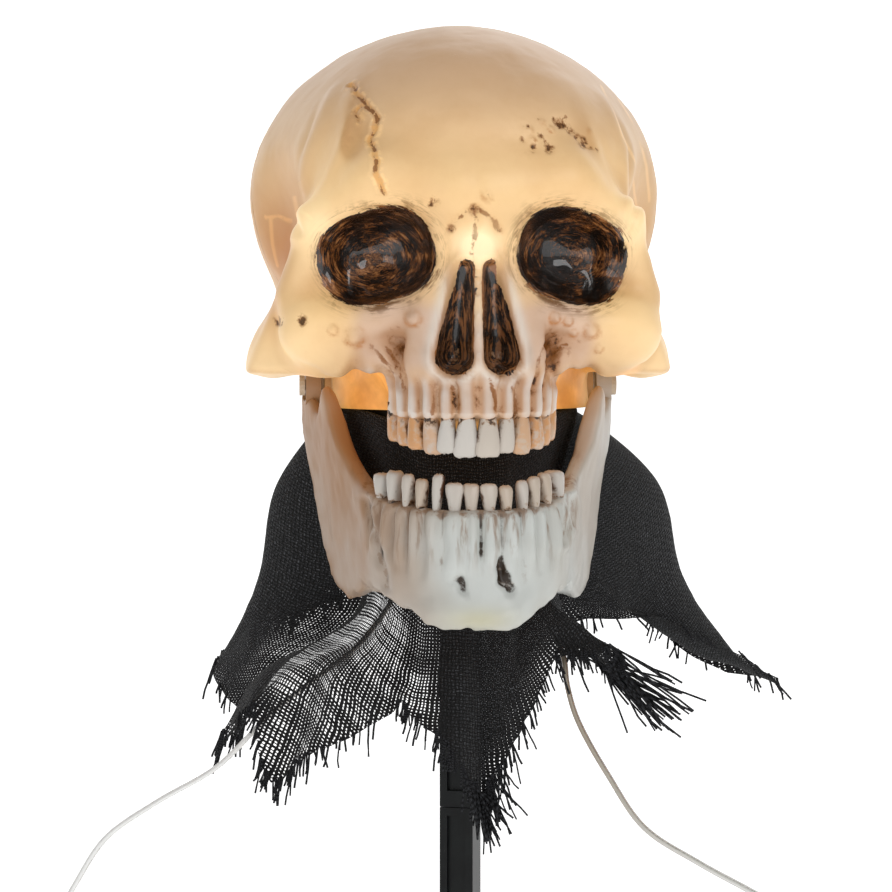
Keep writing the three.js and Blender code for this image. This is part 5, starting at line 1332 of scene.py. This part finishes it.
# Painted shade over the wear: the worn front left and hem darkened towards black.
colour = burlap.mix(burlap.span(burlap.mask("wear_and_shade"), 0.1, 0.6, 0, 0.75), colour, shade(5, 5, 6))
burlap.set("Base Color", colour)
gaps = []
for k, (wave, width) in enumerate(((warp, 0.68), (weft, 0.88))):
    index = burlap.math("FLOOR", axes[k])
    stray = burlap.node("ShaderNodeTexWhiteNoise", {"W": index}, noise_dimensions="1D").outputs["Value"]
    wear = burlap.times(burlap.mask("wear_and_shade"), burlap.span(stray, 0.0, 1.0, 0.5, 1.3))
    gaps.append(burlap.math("GREATER_THAN", wave, burlap.times(wear, width)))
burlap.set("Alpha", burlap.most(*gaps))
burlap.bump(burlap.gain(fuzz, 0.35, height), 0.7, 0.0008)
dress(cloth, burlap)


# Tassels where a tail has come undone: direction in degrees, threads, reach, spread and lean.
TASSELS = ((-83, 60, 20, 0.2, (0.24, 0.0, -1.0)), (-36, 60, 34, 0.24, (0.85, -0.1, -0.7)))
HEM_THREADS = 640
THREAD_RADIUS = 0.0004


def fringe():
    """Loose threads of the hem, as one piece."""
    pick = np.random.default_rng(12)
    last, before = cloth_grid[:, -1].T, cloth_grid[:, -6].T
    down = last - before
    down /= np.linalg.norm(down, axis=1)[:, None]
    edge = np.roll(last, -1, 0) - np.roll(last, 1, 0)
    edge /= np.linalg.norm(edge, axis=1)[:, None]
    outward = down - edge * np.sum(down * edge, axis=1)[:, None]
    outward /= np.linalg.norm(outward, axis=1)[:, None] + 1e-6
    depth = HEM - last[:, 2]
    share = 1 + 2.5 * step(10, 40, depth)
    threads = []
    for place in pick.choice(columns, HEM_THREADS, p=share / share.sum()):
        lean = pick.normal(0, 0.22)
        way = 0.5 * down[place] + 0.2 * outward[place] + lean * edge[place] - (0, 0, 0.7)
        length = pick.uniform(2, 7) + (pick.random() < 0.15) * pick.uniform(2, 7)
        t = np.linspace(-0.25, 1, 6)[:, None]
        curl = np.cumsum(pick.normal(0, 0.5, (6, 3)), 0) * np.clip(t, 0, 1)
        start = last[place] + pick.normal(0, 0.25, 3)
        sagging = (0, 0, 0.02) * t**2 * length**1.5
        threads.append(start + t * length * way / np.linalg.norm(way) + curl * 0.12 * length**0.5 - sagging)
    for angle, count, reach, spread, lean in TASSELS:
        column = int(round(math.radians(angle % 360) / (2 * math.pi) * columns))
        for _ in range(count):
            place = (column + int(pick.normal(0, 7))) % columns
            way = np.array(lean) + pick.normal(0, spread, 3)
            t = np.linspace(-0.1, 1, 6)[:, None]
            curl = np.cumsum(pick.normal(0, 0.6, (6, 3)), 0) * np.clip(t, 0, 1)
            length = reach * pick.uniform(0.5, 1.0)
            threads.append(last[place] + t * length * way / np.linalg.norm(way) + 0.8 * curl)
    parts, quads, lay = [], [], []
    section = THREAD_RADIUS * np.array([(1, 0), (0, 1), (-1, 0), (0, -1)])
    total = 0
    for line in threads:
        points = to_world(line)
        rings = tube(points, np.tile(pick.normal(0, 1, 3), (len(points), 1)), section)
        made, faces = skin(rings, caps=False)
        parts.append(made)
        quads.append(faces + total)
        lay.append(np.repeat(np.linspace(0, 6, len(points)), 4))
        total += len(made)
    obj = mesh_object("shroud_fringe", np.vstack(parts), np.vstack(quads))
    paint(obj, "lay", np.concatenate(lay))
    return obj


threads = fringe()
yarn = Look("frayed_yarn", Roughness=0.9, Specular_IOR_Level=0.25)
twist = yarn.math("SINE", yarn.times(yarn.mask("lay"), 9.0))
yarn.set("Base Color", yarn.mix(yarn.span(twist, -1, 1), shade(10, 10, 11), shade(44, 45, 48)))
yarn.bump(twist, 0.5, 0.0003)
dress(threads, yarn)
for obj in (cloth, threads):
    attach(obj, "skull")
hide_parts("burlap_shroud")

# Other pieces: moulded plastic, metal, rubber and glass.
plastic = Look("black_plastic", Roughness=0.36, IOR=1.45, Specular_IOR_Level=0.2)
patches = plastic.span(plastic.noise(60, 4), 0.3, 0.7)
plastic.set("Base Color", plastic.mix(patches, shade(9, 10, 11), shade(20, 23, 23)))
plastic.bump(plastic.noise(1, 4, 0.6, 0, plastic.place((900, 900, 120))), 0.12, 0.0004)


def plain_look(name, scale, dark, pale, bump=None, detail=4, **values):
    """One noise between two tones; bump holds the scale, strength and depth of a finer noise."""
    look = Look(name, **values)
    look.set("Base Color", look.mix(look.noise(scale, detail), shade(*dark), shade(*pale)))
    if bump:
        look.bump(look.noise(bump[0]), bump[1], bump[2])
    return look


rubber = plain_look("rubber", 200, (20, 20, 21), (38, 37, 36), (900, 0.2, 0.0003), Roughness=0.7)
fine_scratches = (1200, 0.1, 0.0002)
steel = plain_look("steel", 400, (150, 152, 155), (206, 208, 210), fine_scratches, Metallic=1.0,
                   Roughness=0.32)
brass = plain_look("brass", 300, (176, 144, 78), (226, 200, 132), fine_scratches, Metallic=1.0,
                   Roughness=0.3)
nylon = plain_look("nylon", 300, (216, 212, 202), (236, 233, 226), Roughness=0.5)
pin_look = plain_look("pin_plastic", 200, (190, 168, 140), (214, 198, 176), (700, 0.15, 0.0003),
                      Roughness=0.45)
clear = plain_look("clear_plastic", 120, (214, 211, 204), (236, 234, 230), (500, 0.08, 0.0003),
                   Roughness=0.18, IOR=1.46, Transmission_Weight=0.35)
glass = plain_look("bulb_glass_look", 80, (255, 236, 196), (255, 246, 222), detail=3,
                   Roughness=0.08, IOR=1.45, Transmission_Weight=0.6)
glass.set("Emission Color", shade(255, 196, 110))
glass.set("Emission Strength", 1.5)
wire = plain_look("wire_look", 500, (168, 120, 84), (204, 178, 140), detail=3, Roughness=0.3)

# Looks of the pieces that stay as their solids, by the first of these words in their names; else steel.
LOOKS = (
    ("stake", plastic), ("base_plate", plastic), ("lamp_holder", plastic), ("bulb_cap", brass),
    ("bulb_glass", glass), ("tie", rubber), ("relief", rubber), ("lead_plug", clear),
    ("link_socket", clear), ("plug_blade", brass), ("wire", wire), ("washer", nylon),
    ("pin", pin_look),
)
BEVEL_WIDTH = 0.0004
BEVEL_ANGLE = math.radians(50)
for name, obj in node.items():
    if obj.hide_render:
        continue
    dress(obj, next((look for word, look in LOOKS if word in name), steel))
    bevel = obj.modifiers.new("bevel", "BEVEL")
    bevel.width = BEVEL_WIDTH
    bevel.segments = 2
    bevel.limit_method = "ANGLE"
    bevel.angle_limit = BEVEL_ANGLE
    obj.data.polygons.foreach_set("use_smooth", np.ones(len(obj.data.polygons), bool))

# Stage, lights and background, in metres.
STAGE_BEND = 0.8
STAGE_GLOW = 0.66
SKY_LIGHT = 0.3
LAMP_TARGET = (0, 0, 0.25)


def stage_strip():
    """A floor that bends up into a wall."""
    turn = np.linspace(0, np.pi / 2, 17)
    bend = [(2.2 + STAGE_BEND * math.sin(t), STAGE_BEND - STAGE_BEND * math.cos(t)) for t in turn]
    profile = [(-3.0, 0.0)] + bend + [(3.0, 4.0)]
    points = np.array([(x, y, z) for y, z in profile for x in (-5, 5)])
    faces = [[2 * i, 2 * i + 1, 2 * i + 3, 2 * i + 2] for i in range(len(profile) - 1)]
    return mesh_object("stage", points, faces)


stage = stage_strip()
white = Look("stage_white", Roughness=0.9)
white.set("Base Color", white.mix(white.noise(3, 2), (0.86, 0.86, 0.86, 1), (0.9, 0.9, 0.9, 1)))
white.set("Emission Color", (1, 1, 1, 1))
white.set("Emission Strength", STAGE_GLOW)
dress(stage, white)

world = bpy.data.worlds.new("studio")
scene.world = world
world.use_nodes = True
background = world.node_tree.nodes["Background"]
background.inputs[0].default_value = (1, 1, 1, 1)
background.inputs[1].default_value = SKY_LIGHT


def lamp(name, azimuth, elevation, distance, size, watts):
    data = bpy.data.lights.new(name, "AREA")
    data.energy = watts
    data.size = size
    obj = link(bpy.data.objects.new(name, data))
    aim(obj, LAMP_TARGET, azimuth, elevation, distance)


lamp("key", azimuth=26, elevation=26, distance=1.6, size=0.8, watts=8)
lamp("fill", azimuth=-36, elevation=14, distance=1.7, size=0.9, watts=4.4)
lamp("back", azimuth=160, elevation=40, distance=1.8, size=1.0, watts=3)
